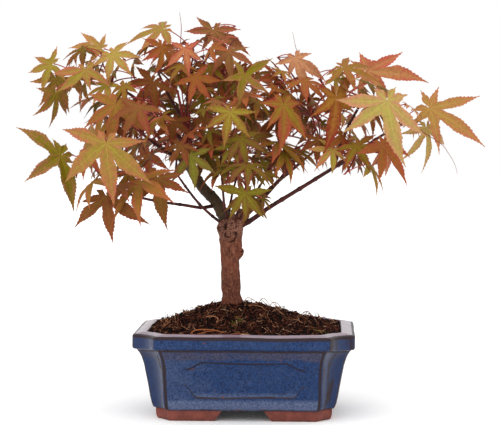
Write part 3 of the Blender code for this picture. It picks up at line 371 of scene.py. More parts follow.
# Hollows in the front of the trunk as (x, z, half width, half height, depth), and a healed cut's ring
PITS = (
    (-11.6, 116.0, 0.6, 3.4, 0.9), (-13.4, 113.0, 0.8, 2.2, 0.6), (-14.2, 133.0, 1.2, 2.4, 1.6),
    (-6.8, 132.8, 0.6, 1.7, 0.9), (-6.4, 127.6, 0.9, 1.9, 1.7), (-18.4, 131.2, 1.0, 1.8, 1.6),
    (-9.4, 131.4, 1.5, 0.4, 0.7), (-13.6, 130.6, 0.5, 1.2, 0.6), (-10.8, 135.4, 1.9, 0.5, 0.7),
    (-15.6, 125.0, 0.7, 2.4, 0.9), (-8.0, 121.0, 0.6, 1.8, 0.5),
)
SCAR, SCAR_RING, SCAR_WIDTH, SCAR_DEPTH, SCAR_RISE, SCAR_SMOOTH = (-11.0, 126.4), 4.1, 0.6, 1.3, 0.7, 3.6
# The stubs as they show in the bark: (from, to, radius at the foot, radius at the end)
FINE_KNOBS = (
    ((-7.5, -1.0, 112.3), (-3.4, -4.6, 116.2), 4.2, 2.6),
    ((-8.5, 1, 133.0), (-0.6, 0.8, 143.2), 5.0, 4.0), *KNOBS[2:],
)
KNOB_ROWS, KNOB_COLUMNS = 34, 56
# The lip and the hollow at a stub's end, row by row: its radius, and how far it sinks in at a radius of 2.4
KNOB_LIP = (0.93, 0.84, 0.72, 0.58, 0.44, 0.3, 0.16, 0.03)
KNOB_SUNK = (0.0, 0.15, 0.55, 0.95, 1.2, 1.3, 1.35, 1.35)

# The limbs' skin. The leader bends, as (how far along X, height, span), and is thicker, as (share, height,
# span).
LEADER_BENDS, LEADER_THICKER = ((3.5, 150, 7), (-2.0, 172, 8)), (0.3, 166, 24)
LIMB_FINE_STEPS, LIMB_FINE_SIDES, STOUT_LIMB = 26, 10, 3
FOOT_SWELL, FOOT_SWELL_SPAN, RING_RISE, RING_WIDTH = 0.32, 3.5, 0.28, 0.9
LIMB_LUMP, LIMB_GRAIN = 0.05, 0.03
# The finish of the usual limb and of the leader, as (name, patches, specks, colours, flecks, relief)
LIMB_LOOKS = (
    ("young_bark", (200, 4, 0.6), (1300, 2), ((54, 25, 24), (84, 40, 35)), (0.64, 0.72, 0.4, (122, 92, 78)),
     (0.0003, 0.4)),
    ("green_bark", (150, 4, 0.5), (1200, 2), ((56, 42, 29), (77, 60, 38)), (0.62, 0.7, 0.5, (116, 97, 67)),
     (0.0004, 0.5)),
)

# The pot's fine skin: how often its corners are softened, the height of a row, and how many points each
# straight side of its plan takes, by the number of the corner that it starts from
CORNER_POINTS, POT_ROW = 5, 0.55
FACE_POINTS = {3: 84, 7: 130, 11: 84, 15: 130}
RIM_UNDER, FIELD_DEPTH = 51.4, 1.3
# The outer wall under the rim, as (height, inset)
GLAZE_PROFILE = (
    (7.5, 15.8), (8.3, 13.9), (11, 12.8), (16, 11.6), (27, 9.7), (38, 7.5), (43.5, 5.9), (47, 4.4),
    (50.6, 2.8))
# The notches are scooped: how far each end of their curve runs straight in, and its slant
SCOOP, SCOOP_SLANT, NOTCH_STEPS = 8.5, 0.25, 16
RIM_DROP, RIDGE, GROOVE, GROOVE_IN = 1.8, 0.35, 0.6, 1.5
RIM_LIP, INNER_LIP, RIM_ROWS, INNER_ROWS = 1.6, 1.4, 9, 10
# Half the width of a long face and of a short one, that their framed fields are measured from
FACE_HALF_FRONT, FACE_HALF_SIDE = 57.0, 40.0
FOOT_ARCH, FOOT_ARCH_TOP, FOOT_BEVEL = 47.3, 0.55, 0.5

# The earth: the mound's rows, columns and innermost ring, and its crumbs, fibres and moss
SOIL_ROWS, SOIL_COLUMNS, SOIL_HEART, SOIL_SKIRT = 110, 420, 5.0, (30, 52)
SOIL_ROUGH, CRUMBS, FIBRES, MOSS_LUMPS, MOSS_SPREAD = 0.6, 7000, 3400, 60, 1.6
CRUMB_SIZES, FIBRE_LENGTHS = (0.6, 0.8, 1.0, 1.3, 1.6, 2.1), (3, 4, 5, 6, 8, 12)
FIBRE_RISES, FIBRE_RADII = (0, 0, 0, 0, 0.12, 0.25, 0.5), (0.12, 0.17, 0.22, 0.32)
RIM_RISE, RIM_SWAY = 1.3, 0.5
LUMP_FACES = ((0, 1, 3, 2), (4, 6, 7, 5), (0, 4, 5, 1), (2, 3, 7, 6), (0, 2, 6, 4), (1, 5, 7, 3))
EARTH_COLOURS = (
    (16, 9, 8), (23, 12, 10), (33, 17, 14), (58, 27, 20), (10, 6, 6), (80, 41, 30), (112, 66, 46),
    (166, 114, 80), (198, 152, 120), (88, 100, 34), (112, 122, 44), (66, 76, 32), (150, 88, 54),
)
# Roots that show on the earth, as (line, radius, finish)
ROOTS = (
    (((-36, -49.5, 61.6), (-33, -48, 63.8), (-26, -47, 64.4), (-18, -46.5, 63.6), (-11, -47.5, 61.6),
      (-4, -49, 60.6)), 0.52, 12),
    (((-37, -48.5, 60.6), (-30, -48, 61.6), (-24, -47, 63.0), (-18, -46.5, 63.6)), 0.42, 12),
    (((-4, -49, 60.6), (0, -49.5, 61.4), (5, -50, 61.6)), 0.4, 8),
    (((-8, -48, 61.4), (-3, -49, 62.2), (2, -49.6, 61.2)), 0.35, 12),
    (((-27, -30, 71.0), (-22, -32, 72.0), (-18, -33, 70.5), (-19, -36, 67.5)), 0.35, 7),
    (((-14, -30, 72.0), (-17, -33, 69.0), (-19, -36, 66.0)), 0.3, 6),
    (((-2, -4, 76.5), (0.9, -4, 81.9), (5.9, -4, 80.1), (9.4, -4, 76.5)), 0.3, 6),
    (((7.3, -4, 75), (11.6, -4, 81.4), (14.4, -4, 80.4), (18.7, -4, 74.4)), 0.3, 5),
    (((15.9, -4, 73.7), (19.4, -4, 78.8), (23.7, -4, 77.0), (26.6, -4, 71.6)), 0.28, 6),
    (((38.0, -4, 68.8), (43.0, -4, 72.6), (46.6, -4, 70.5), (50.1, -4, 66.7)), 0.28, 6),
    (((2, -12, 77.2), (6, -13, 77.8), (12, -14, 76.4), (15, -15, 74.2), (24, -18, 71.0)), 0.22, 7),
)
# Finishes are numbers in EARTH_COLOURS. Moss is (x, y, size).
CRUMB_FINISHES = (0, 0, 1, 1, 1, 2, 2, 2, 3, 4, 4, 5)
FIBRE_FINISHES = (2, 3, 3, 3, 5, 5, 5, 6, 6, 6, 7, 8)
MOSS_FINISHES = (9, 10, 11)
FIBRE_STEPS, FIBRE_SIDES, ROOT_STEPS, ROOT_SIDES = 9, 3, 24, 5
MOSS = ((-3, -29, 1.3), (-6, -33, 0.8), (54, -36, 1.3), (50, -32, 1.0), (-30, 20, 1.0), (18, 30, 1.1))

# Camera, from the pot: azimuth, yaw and pitch in degrees, its distance and height, and its focus in pixels
CAMERA_ANGLES, CAMERA_DISTANCE, CAMERA_FOCUS = (2.92, 2.78, 3.0), (1150, 203), 1611.5
SENSOR_WIDTH, PICTURE_WIDTH, CLIP_END = 36, 500, 30
# Light: the world's, the floor's own, and soft suns as (turn, lean, strength, how wide they seem, in degrees)
WORLD_LIGHT, FLOOR_COLOUR, FLOOR_GLOW, FLOOR_SIZE = 1.0, 1.0, 0.02, 6
SUNS = ((-35, 45, 0.85, 80), (20, 30, 0.55, 90))


def point(x, y, z):
    return Vector((x, y, z)) * MM


# Curves and tubes


def smooth_route(corners, steps):
    """A smooth line through the corners, with this many steps from each to the next."""
    ends = [2 * corners[0] - corners[1], *corners, 2 * corners[-1] - corners[-2]]
    line = []
    for before, here, there, after in zip(ends, ends[1:], ends[2:], ends[3:]):
        out, back = (there - before) / 6, (after - here) / 6
        line += interpolate_bezier(here, here + out, there - back, there, steps + 1)[:-1]
    return line + [corners[-1]]


def bend(start, towards, end, steps):
    """A line from start to end that leaves in the direction of the point towards."""
    shares = (i / steps for i in range(steps + 1))
    return [start.lerp(towards, t).lerp(towards.lerp(end, t), t) for t in shares]


def tube(line, radii, sides, squash=1.0):
    """A closed tube of flat faces round a line, as (points, faces)."""
    points, faces = [], []
    side = None
    for i, (here, radius) in enumerate(zip(line, radii)):
        along = (line[min(i + 1, len(line) - 1)] - line[max(i - 1, 0)]).normalized()
        if side is None:
            side = along.cross(UP if abs(along.z) < 0.9 else Vector((0, 1, 0)))
        side = (side - along * side.dot(along)).normalized()
        other = along.cross(side)
        for j in range(sides):
            turn = 2 * math.pi * j / sides
            points.append(here + radius * (math.cos(turn) * side + squash * math.sin(turn) * other))
    for i in range(len(line) - 1):
        for j in range(sides):
            a, b = i * sides + j, i * sides + (j + 1) % sides
            faces.append((a, b, b + sides, a + sides))
    faces.append(tuple(reversed(range(sides))))
    faces.append(tuple(range(len(points) - sides, len(points))))
    return points, faces


def taper(first, last, count):
    return [first + (last - first) * i / (count - 1) for i in range(count)]


def at_length(line, length):
    """The point this far along a line, and the line's direction there."""
    for here, there in zip(line, line[1:]):
        step = (there - here).length
        if length <= step:
            return here.lerp(there, length / step), (there - here).normalized()
        length -= step
    return line[-1].copy(), (line[-1] - line[-2]).normalized()


def length_of(line):
    return sum((b - a).length for a, b in zip(line, line[1:]))


# Leaves


class Leaf:
    """One palmate leaf: its base, its own axes, its lobes and how far they curl down."""

    def __init__(self, base, along, normal, length, rng, lobes=None):
        self.base, self.length = base, length
        self.normal = normal.normalized()
        self.along = (along - self.normal * along.dot(self.normal)).normalized()
        self.across = self.normal.cross(self.along)
        self.curl = rng.uniform(*LEAF_CURL)
        sides = [(-angle, share) for angle, share in reversed(LOBES[1:])] + list(LOBES)
        even = [(angle + rng.uniform(*LOBE_SWAY), share * rng.uniform(*LOBE_SPREAD))
                for angle, share in sides]
        self.lobes = lobes or even

    def at(self, angle, reach, lift=0.0):
        """The point at this angle off the middle lobe and this share of its length, on the curled blade."""
        turn = math.radians(angle)
        flat = math.cos(turn) * self.along + math.sin(turn) * self.across
        out, down = math.sin(self.curl * reach) / self.curl, (1 - math.cos(self.curl * reach)) / self.curl
        return self.base + self.length * (flat * out + self.normal * (lift - down))

    def outline(self):
        """The blade's edge, from one side of its stalk round to the other, as (angle, reach, lift)."""
        edge = []
        beside = math.degrees(math.atan2(LOBE_HALF_WIDTH, LOBE_WIDEST))
        out = math.hypot(LOBE_HALF_WIDTH, LOBE_WIDEST)
        middle = len(self.lobes) // 2
        beside_middle = WIDE_BESIDE_MIDDLE if self.length > SMALL_LEAF * MM else 0
        for i, (angle, share) in enumerate(self.lobes):
            wide = abs(i - middle) <= beside_middle
            if wide:
                edge.append((angle - beside, out * share, LEAF_FOLD * LOBE_HALF_WIDTH * share))
            edge.append((angle, share, 0))
            if wide:
                edge.append((angle + beside, out * share, LEAF_FOLD * LOBE_HALF_WIDTH * share))
            if i + 1 < len(self.lobes):
                sinus = SINUSES[0] if i in (middle - 1, middle) else SINUSES[1]
                edge.append(((angle + self.lobes[i + 1][0]) / 2, sinus, 0))
        return edge

    def back(self):
        """The place on the blade's edge where its stalk joins it."""
        return self.base - self.along * BASE_SINUS * self.length

    def shape(self, wider=1.0, thicker=1.0):
        """The blade, thin at its edge, as one closed solid's (points, faces)."""
        half, radius = LEAF_THICK_SHARE * thicker * self.length / 2, STALK_RADIUS * MM
        back, middle = self.back(), self.at(0, MIDDLE)
        points = [back - self.across * radius]
        points += [self.at(angle, reach * wider, lift) for angle, reach, lift in self.outline()]
        points += [back + self.across * radius]
        last = len(points) - 1
        top, bottom, low = last + 1, last + 2, last + 3
        points += [middle + self.normal * half, middle - self.normal * half]
        points.append(back - self.normal * STALK_DROP * radius)
        faces = [(top, i, i + 1) for i in range(last)] + [(top, last, 0)]
        faces += [(bottom, i + 1, i) for i in range(last)] + [(bottom, 0, low), (bottom, low, last)]
        return points, [*faces, (low, 0, last)]


# The rule by which a mass of foliage grows


class Room:
    """What already stands in the crown. It says whether a new shape would touch any of it."""

    def __init__(self):
        self.things = []

    @staticmethod
    def boxed(shape):
        points, faces = shape
        low = Vector(map(min, *points))
        high = Vector(map(max, *points))
        return BVHTree.FromPolygons(points, faces), low, high

    def add(self, shape, owner):
        self.things.append((*self.boxed(shape), owner))

    def touches(self, shape, leave_out=None):
        tree, low, high = self.boxed(shape)
        for other, other_low, other_high, owner in self.things:
            apart = any(low[i] > other_high[i] or high[i] < other_low[i] for i in range(3))
            if owner != leave_out and not apart and tree.overlap(other):
                return True
        return False

    @classmethod
    def overlap(cls, shape, other):
        return bool(cls.boxed(shape)[0].overlap(cls.boxed(other)[0]))


def outward(place):
    flat = Vector((place.x - CROWN_AXIS[0] * MM, place.y - CROWN_AXIS[1] * MM, 0))
    return flat.normalized() if flat.length > 1e-6 else Vector((0, -1, 0))


def chance(rng, size):
    return Vector([rng.uniform(-size, size) for _ in range(3)])


def any_way(rng):
    return Vector([rng.gauss(0, 1) for _ in range(3)]).normalized()


class Mass:
    """The twigs and the stalked leaves that grow from the tip of one limb."""

    def __init__(self, name, limb_line, spec, room):
        self.name, self.room = name, room
        limb, heart, reach, seed, self.added, self.leading = spec
        self.heart, self.reach = point(*heart), [r * MM for r in reach]
        self.rng = random.Random(seed)
        tip = limb_line[-1]
        ahead = (tip - limb_line[-2]).normalized()
        stem = [tip + ahead * GAP, tip + ahead * STEM_LENGTH * MM]
        radius = LIMBS[limb][2] * MM
        self.twigs, self.leaves, self.open_places = [], [], []
        self.keep_twig(stem, taper(radius, 0.9 * radius, 2))
        # Where a twig may start: (place, direction, way back to the limb)
        self.starts = [(stem[1], ahead, STEM_LENGTH * MM)]

    def keep_twig(self, line, radii):
        self.twigs.append((line, radii))
        self.room.add(tube(line, radii, TWIG_SIDES), self.name)

    def keep_leaf(self, leaf, stalk):
        self.leaves.append((leaf, stalk))
        self.room.add(leaf.shape(), self.name + " blades")
        self.room.add(tube(stalk, [STALK_RADIUS * MM] * len(stalk), TWIG_SIDES), self.name)

    def leading_leaf(self, spec):
        """A leaf of the list. A try that doesn't fit is followed by one a little nearer or further away."""
        x, y, z, length, heading, turn, tilt, *lobes = spec
        heading, turn, tilt = math.radians(heading), math.radians(turn), math.radians(tilt)
        face = Vector((math.sin(turn) * math.cos(tilt), -math.cos(turn) * math.cos(tilt), math.sin(tilt)))
        base = point(x, y + self.rng.uniform(-1, 1) * LEADING_SLACK, z)
        along = Vector((math.cos(heading), 0, math.sin(heading)))
        return Leaf(base, along, face, length * MM, self.rng, *lobes)

    def new_leaf(self, clear, lengths):
        """A leaf for a new shoot, in the mass's space and at least the share `clear` out from its heart."""
        way = any_way(self.rng)
        share = self.rng.uniform(clear, 1.0)
        base = self.heart + share * Vector([way[i] * self.reach[i] for i in range(3)])
        return self.free_leaf(base, self.rng.uniform(*lengths) * MM, outward(base))

    def free_leaf(self, base, length, stalk_way):
        """A leaf that faces outwards and up, and whose middle lobe hangs on from its stalk."""
        out = outward(base)
        normal = 0.6 * out + 0.6 * UP + chance(self.rng, 0.4)
        along = 0.45 * out - 0.55 * UP + 0.6 * stalk_way + chance(self.rng, 0.5)
        return Leaf(base, along, normal, length, self.rng)

    def stalk_length(self, length):
        return min(max(STALK_SHARE * length, STALK_LEAST * MM), STALK_MOST * MM)

    def node_of(self, leaf):
        """Where the stalk of a new shoot's end leaf starts."""
        way = 0.45 * outward(leaf.base) + 0.35 * UP + 0.25 * leaf.normal + 0.4 * leaf.along
        way += chance(self.rng, 0.2)
        return leaf.base - way.normalized() * self.stalk_length(leaf.length)

    def stalk(self, leaf, node, sink):
        """The stalk's line from the blade to its node, and a little further, into the twig."""
        away = leaf.back() - node
        end = node - away.normalized() * sink * MM
        return bend(leaf.back(), node + 0.45 * away + 0.16 * away.length * UP, end, TWIG_STEPS)

    def fits(self, leaf, stalk, twig=None):
        """True if the leaf, its stalk and its twig touch nothing but the mass's own twigs."""
        if (stalk[1] - stalk[0]).normalized().dot(leaf.along) > STALK_UNDER_BLADE:
            return False
        blade = leaf.shape(wider=ROOM_ACROSS, thicker=ROOM_THICK)
        if self.room.touches(blade) or self.room.overlap(blade, self.thick(stalk[1:], STALK_RADIUS)):
            return False
        lines = [self.thick(stalk, STALK_RADIUS)] + ([self.thick(twig, TWIG_RADIUS)] if twig else [])
        return not any(self.room.touches(line, self.name) for line in lines)

    @staticmethod
    def thick(line, radius):
        """A tube with room round it."""
        return tube(line, [ROOM_ROUND * radius * MM] * len(line), TWIG_SIDES)

    def ways_in(self, node):
        """The starts from which a twig could reach this node, the nearest first."""
        costs = []
        for number, (start, ahead, back) in enumerate(self.starts):
            away = node - start
            if away.length > TWIG_LEAST * MM and away.normalized().dot(ahead) > SHARPEST_FORK:
                costs.append((away.length + 0.45 * back, number))
        return [self.starts[number] for _, number in sorted(costs)[:WAYS_TRIED]]

    def grow_shoot(self, make_leaf):
        """One twig with a leaf at its end."""
        for _ in range(TRIES):
            leaf = make_leaf()
            node = self.node_of(leaf)
            stalk = self.stalk(leaf, node, END_SINK)
            for start, ahead, back in self.ways_in(node):
                away = node - start
                twig = bend(start, start + 0.4 * away + 0.18 * away.length * ahead, node, TWIG_STEPS)
                if self.fits(leaf, stalk, twig):
                    self.keep_twig(twig, taper(TWIG_RADIUS * MM, TWIG_TIP_RADIUS * MM, len(twig)))
                    self.keep_leaf(leaf, stalk)
                    self.mark_nodes(leaf, node, twig, back)
                    return

    def mark_nodes(self, leaf, node, twig, back):
        """Notes where leaves stand along a new twig, in pairs, each turned a quarter from the last."""
        whole = length_of(twig)
        direction = (twig[-1] - twig[-2]).normalized()
        stalk_way = (leaf.base - node).normalized()
        self.starts.append((node, direction, back + whole))
        self.open_places.append((node, direction, stalk_way, leaf.length))
        quarter = direction.cross(stalk_way)
        length = whole - NODE_SPACING * MM
        while length > NODE_LEAST * MM:
            place, direction = at_length(twig, length)
            self.starts.append((place, direction, back + length))
            for side in (quarter, -quarter):
                self.open_places.append((place, direction, side, leaf.length))
            quarter = direction.cross(quarter)
            length -= NODE_SPACING * MM

    def fill_nodes(self):
        """A leaf at each noted place that has room for one."""
        for place in self.open_places:
            self.opposite(*place)
        self.open_places = []

    def opposite(self, node, direction, stalk_way, length):
        """A leaf on the side of the twig away from stalk_way, if it has room."""
        across = stalk_way - direction * stalk_way.dot(direction)
        if across.length < 0.05:
            return
        for _ in range(TRIES):
            size = length * self.rng.uniform(*PAIR_SIZE)
            way = (0.55 * direction - across.normalized() + 0.25 * UP + chance(self.rng, 0.35)).normalized()
            leaf = self.free_leaf(node + way * self.stalk_length(size), size, way)
            stalk = self.stalk(leaf, node, SIDE_SINK)
            if self.inside(leaf.base) and self.fits(leaf, stalk):
                self.keep_leaf(leaf, stalk)
                return

    def inside(self, place):
        """True within the mass's own space, an ellipsoid about its heart."""
        away = place - self.heart
        return sum((away[i] / (SPACE_MARGIN * self.reach[i])) ** 2 for i in range(3)) < 1

    def lead(self):
        for spec in self.leading:
            self.grow_shoot(lambda: self.leading_leaf(spec))

    def fill(self):
        for _ in range(self.added):
            self.grow_shoot(lambda: self.new_leaf(HEART_CLEAR, LEAF_LENGTH))
        self.fill_nodes()

    def grow_finer(self):
        """Small leaves from all along the twigs, on short twigs of their own or straight on a stalk."""
        shoots, sides = MORE_GROWTH[self.name]
        self.rng = random.Random(self.name)
        self.main_twigs = len(self.twigs)
        for _ in range(shoots):
            self.grow_shoot(lambda: self.new_leaf(SMALL_CLEAR, SMALL_LENGTH))
        self.fill_nodes()
        lines = [line for line, _ in self.twigs[1:]]
        for _ in range(sides):
            line = self.rng.choice(lines)
            place, direction = at_length(line, self.rng.uniform(*SMALL_PLACES) * length_of(line))
            self.opposite(place, direction, any_way(self.rng), self.rng.uniform(*SMALL_LENGTH) * MM)


# Objects


def make_object(name, shape, finish=None):
    points, faces = shape
    mesh = bpy.data.meshes.new(name)
    mesh.from_pydata([tuple(p) for p in points], [], faces)
    made = bpy.data.objects.new(name, mesh)
    bpy.context.scene.collection.objects.link(made)
    if finish:
        mesh.materials.append(finish)
    return made


def fill_holes(thing):
    mesh = bmesh.new()
    mesh.from_mesh(thing.data)
    bmesh.ops.holes_fill(mesh, edges=[e for e in mesh.edges if e.is_boundary], sides=0)
    mesh.to_mesh(thing.data)
    mesh.free()


def settle(target):
    """Applies the object's modifiers."""
    graph = bpy.context.evaluated_depsgraph_get()
    mesh = bpy.data.meshes.new_from_object(target.evaluated_get(graph))
    target.modifiers.clear()
    old = target.data
    target.data = mesh
    bpy.data.meshes.remove(old)


def cut_out(target, others):
    """Cuts the others out of the target and removes them."""
    group = bpy.data.collections.new("working")
    bpy.context.scene.collection.children.link(group)
    for other in others:
        bpy.context.scene.collection.objects.unlink(other)
        group.objects.link(other)
    step = target.modifiers.new("difference", "BOOLEAN")
    step.operation, step.operand_type, step.solver = "DIFFERENCE", "COLLECTION", "EXACT"
    step.collection = group
    bpy.context.view_layer.update()
    settle(target)
    for other in list(group.objects):
        bpy.data.objects.remove(other, do_unlink=True)
    bpy.data.collections.remove(group)


# The solids' own forms


def pot_outline(inset, height, notch_share=None):
    """The pot's plan at this height, as its corners in order, drawn in from the rim's edge."""
    if notch_share is None:
        notch_share = FOOT_NOTCH_SHARE + (1 - FOOT_NOTCH_SHARE) * min(height / (POT_HEIGHT - RIM_HEIGHT), 1)
    half_x, half_y = (POT_WIDTH / 2 - inset) * MM, (POT_DEPTH / 2 - inset) * MM
    across, back = NOTCH_ACROSS * notch_share * MM, NOTCH_BACK * notch_share * MM
    step = NOTCH_STEP * notch_share * MM
    quarter = (
        (half_x, -half_y + back),
        (half_x - step, -half_y + back - STEP_SLANT * step),
        (half_x - across + STEP_SLANT * step, -half_y + step),
        (half_x - across, -half_y),
    )
    corners = [
        *[(x, y) for x, y in reversed(quarter)],
        *[(x, -y) for x, y in quarter],
        *[(-x, -y) for x, y in reversed(quarter)],
        *[(-x, y) for x, y in quarter],
    ]
    return [Vector((x, y, height * MM)) for x, y in corners]


def stack(rings):
    """A closed solid from outlines with the same number of corners, the first and last of them filled."""
    count = len(rings[0])
    points = [p for ring in rings for p in ring]
    faces = [tuple(reversed(range(count)))]
    for i in range(len(rings) - 1):
        for j in range(count):
            a, b = i * count + j, i * count + (j + 1) % count
            faces.append((a, b, b + count, a + count))
    faces.append(tuple(range(len(points) - count, len(points))))
    return points, faces


def box(x_low, x_high, y_low, y_high, z_low, z_high, top_share=1.0):
    """A block in millimetres, whose top may be narrower along X than its foot."""
    middle, half = (x_low + x_high) / 2, (x_high - x_low) / 2
    rings = []
    for z, share in ((z_low, 1.0), (z_high, top_share)):
        side = half * share
        corners = ((-side, y_low), (side, y_low), (side, y_high), (-side, y_high))
        rings.append([point(middle + x, y, z) for x, y in corners])
    return stack(rings)


def turned(shape):
    """The same shape, a quarter turn about Z."""
    points, faces = shape
    return [Vector((-p.y, p.x, p.z)) for p in points], faces


def drain(x):
    line = [point(x, 0, FOOT_HEIGHT - 3), point(x, 0, FOOT_HEIGHT + FLOOR_THICK + 3)]
    return tube(line, [DRAIN_RADIUS * MM] * 2, 12)


def trunk_shape():
    line = [point(x, 0, z) for z, x, _ in TRUNK_PROFILE]
    return tube(line, [r * MM for _, _, r in TRUNK_PROFILE], TRUNK_SIDES, TRUNK_DEPTH_SHARE)


def knob_shape(knob):
    first, last, wide, narrow = knob
    first, last = point(*first), point(*last)
    return tube([first, first.lerp(last, 0.6), last], [wide * MM, 0.92 * wide * MM, narrow * MM], 8)


def limb_line(name):
    return smooth_route([point(*p) for p in LIMBS[name][3]], LIMB_STEPS_PER_SPAN)


def limb_shape(name, line):
    """The limb's tube with a gap round it, for the crown to keep clear of."""
    _, foot, tip, _ = LIMBS[name]
    return tube(line, [r + GAP for r in taper(foot * MM, tip * MM, len(line))], LIMB_SIDES)


# Meshes from arrays


def smooth_noise(seed):
    """A function that gives noise from -1 to 1 at points, with a given grain size."""
    table = np.random.default_rng(seed).uniform(-1, 1, (NOISE_CELLS,) * 3)

    def noise(points, grain):
        scaled = np.asarray(points, float) / grain
        cell = np.floor(scaled).astype(int)
        part = scaled - cell
        part = part * part * (3 - 2 * part)
        total = np.zeros(scaled.shape[:-1])
        for corner in itertools.product((0, 1), repeat=3):
            weight = np.prod(np.where(corner, part, 1 - part), axis=-1)
            spot = (cell + corner) % NOISE_CELLS
            total += weight * table[spot[..., 0], spot[..., 1], spot[..., 2]]
        return total

    return noise


class Gather:
    """Points and four-sided faces of many small shapes, joined into one mesh."""

    def __init__(self):
        self.points, self.faces, self.finishes, self.count = [], [], [], 0

    def add(self, points, faces, finishes):
        self.points.append(np.asarray(points, float))
        self.faces.append(np.asarray(faces, int) + self.count)
        self.finishes.append(np.broadcast_to(np.asarray(finishes, int), (len(faces),)))
        self.count += len(points)

    def add_grid(self, grid, finishes, closed=False):
        """Adds a grid of points, rows first. Closed joins its last column to its first."""
        rows, columns = grid.shape[:2]
        across = columns if closed else columns - 1
        i, j = np.meshgrid(np.arange(rows - 1), np.arange(across), indexing="ij")
        k = (j + 1) % columns
        faces = np.stack([i * columns + j, i * columns + k, (i + 1) * columns + k, (i + 1) * columns + j], -1)
        self.add(grid.reshape(-1, 3), faces.reshape(-1, 4), np.broadcast_to(finishes, i.shape).ravel())

    def build(self, name, finishes, smooth=True):
        """The mesh as an object. Only the finishes that it uses become its slots."""
        points, faces = np.concatenate(self.points), np.concatenate(self.faces)
        numbers = np.concatenate(self.finishes)
        used = np.unique(numbers)
        mesh = bpy.data.meshes.new(name)
        mesh.vertices.add(len(points))
        mesh.vertices.foreach_set("co", points.astype(np.float32).ravel())
        mesh.loops.add(faces.size)
        mesh.loops.foreach_set("vertex_index", faces.astype(np.int32).ravel())
        mesh.polygons.add(len(faces))
        mesh.polygons.foreach_set("loop_start", np.arange(0, faces.size, 4, dtype=np.int32))
        for number in used:
            mesh.materials.append(finishes[number])
        mesh.polygons.foreach_set("material_index", np.searchsorted(used, numbers).astype(np.int32))
        mesh.polygons.foreach_set("use_smooth", np.full(len(faces), smooth))
        mesh.update(calc_edges=True)
        mesh.validate()
        made = bpy.data.objects.new(name, mesh)
        bpy.context.scene.collection.objects.link(made)
        return made


def array(vectors):
    return np.array([tuple(v) for v in vectors], float)


def step_up(value, low, high):
    """From 0 at low to 1 at high, smoothly."""
    share = np.clip((value - low) / (high - low), 0, 1)
    return share * share * (3 - 2 * share)


def placed(grid):
    """Points in millimetres from the pot's middle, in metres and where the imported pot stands."""
    return grid * MM + np.array([SHIFT.x, SHIFT.y, 0])


def frames_along(line):
    """Two directions across a line, at each of its points, without twist."""
    ahead = np.gradient(line, axis=0)
    ahead /= np.linalg.norm(ahead, axis=1)[:, None]
    side = np.cross(ahead[0], (0, 0, 1) if abs(ahead[0][2]) < 0.9 else (0, 1, 0))
    sides = []
    for direction in ahead:
        side = side - direction * side.dot(direction)
        side /= np.linalg.norm(side)
        sides.append(side)
    sides = np.array(sides)
    return sides, np.cross(ahead, sides)


def tube_grid(line, radii, sides):
    """Rings of points round a line with a radius for each, closed at both ends by small rings."""
    side, other = frames_along(line)
    turn = np.linspace(0, 2 * np.pi, sides, endpoint=False)[None, :, None]
    ring = np.cos(turn) * side[:, None] + np.sin(turn) * other[:, None]
    grid = line[:, None] + np.asarray(radii, float)[:, None, None] * ring
    first, last = grid[0].mean(0), grid[-1].mean(0)
    return np.array([first + END_CAP * (grid[0] - first), *grid, last + END_CAP * (grid[-1] - last)])


def finer(line, steps):
    """The smooth curve of a line of three points, or of more points, with more steps."""
    line = array(line)
    if len(line) == 3:
        towards = 2 * line[1] - (line[0] + line[2]) / 2
        t = np.linspace(0, 1, steps + 1)[:, None]
        return (1 - t) ** 2 * line[0] + 2 * t * (1 - t) * towards + t ** 2 * line[2]
    return array(smooth_route([Vector(p) for p in line], max(1, steps // (len(line) - 1))))


# Finishes


def srgb(colour):
    return [((c / 255 + 0.055) / 1.055) ** 2.4 if c > 10 else c / 255 / 12.92 for c in colour]


def plain(name, colour, roughness, specular):
    """A finish of one colour all over."""
    made = bpy.data.materials.new(name)
    made.use_nodes = True
    shader = made.node_tree.nodes["Principled BSDF"]
    shader.inputs["Base Color"].default_value = (*colour, 1)
    shader.inputs["Roughness"].default_value = roughness
    shader.inputs["Specular IOR Level"].default_value = specular
    return made


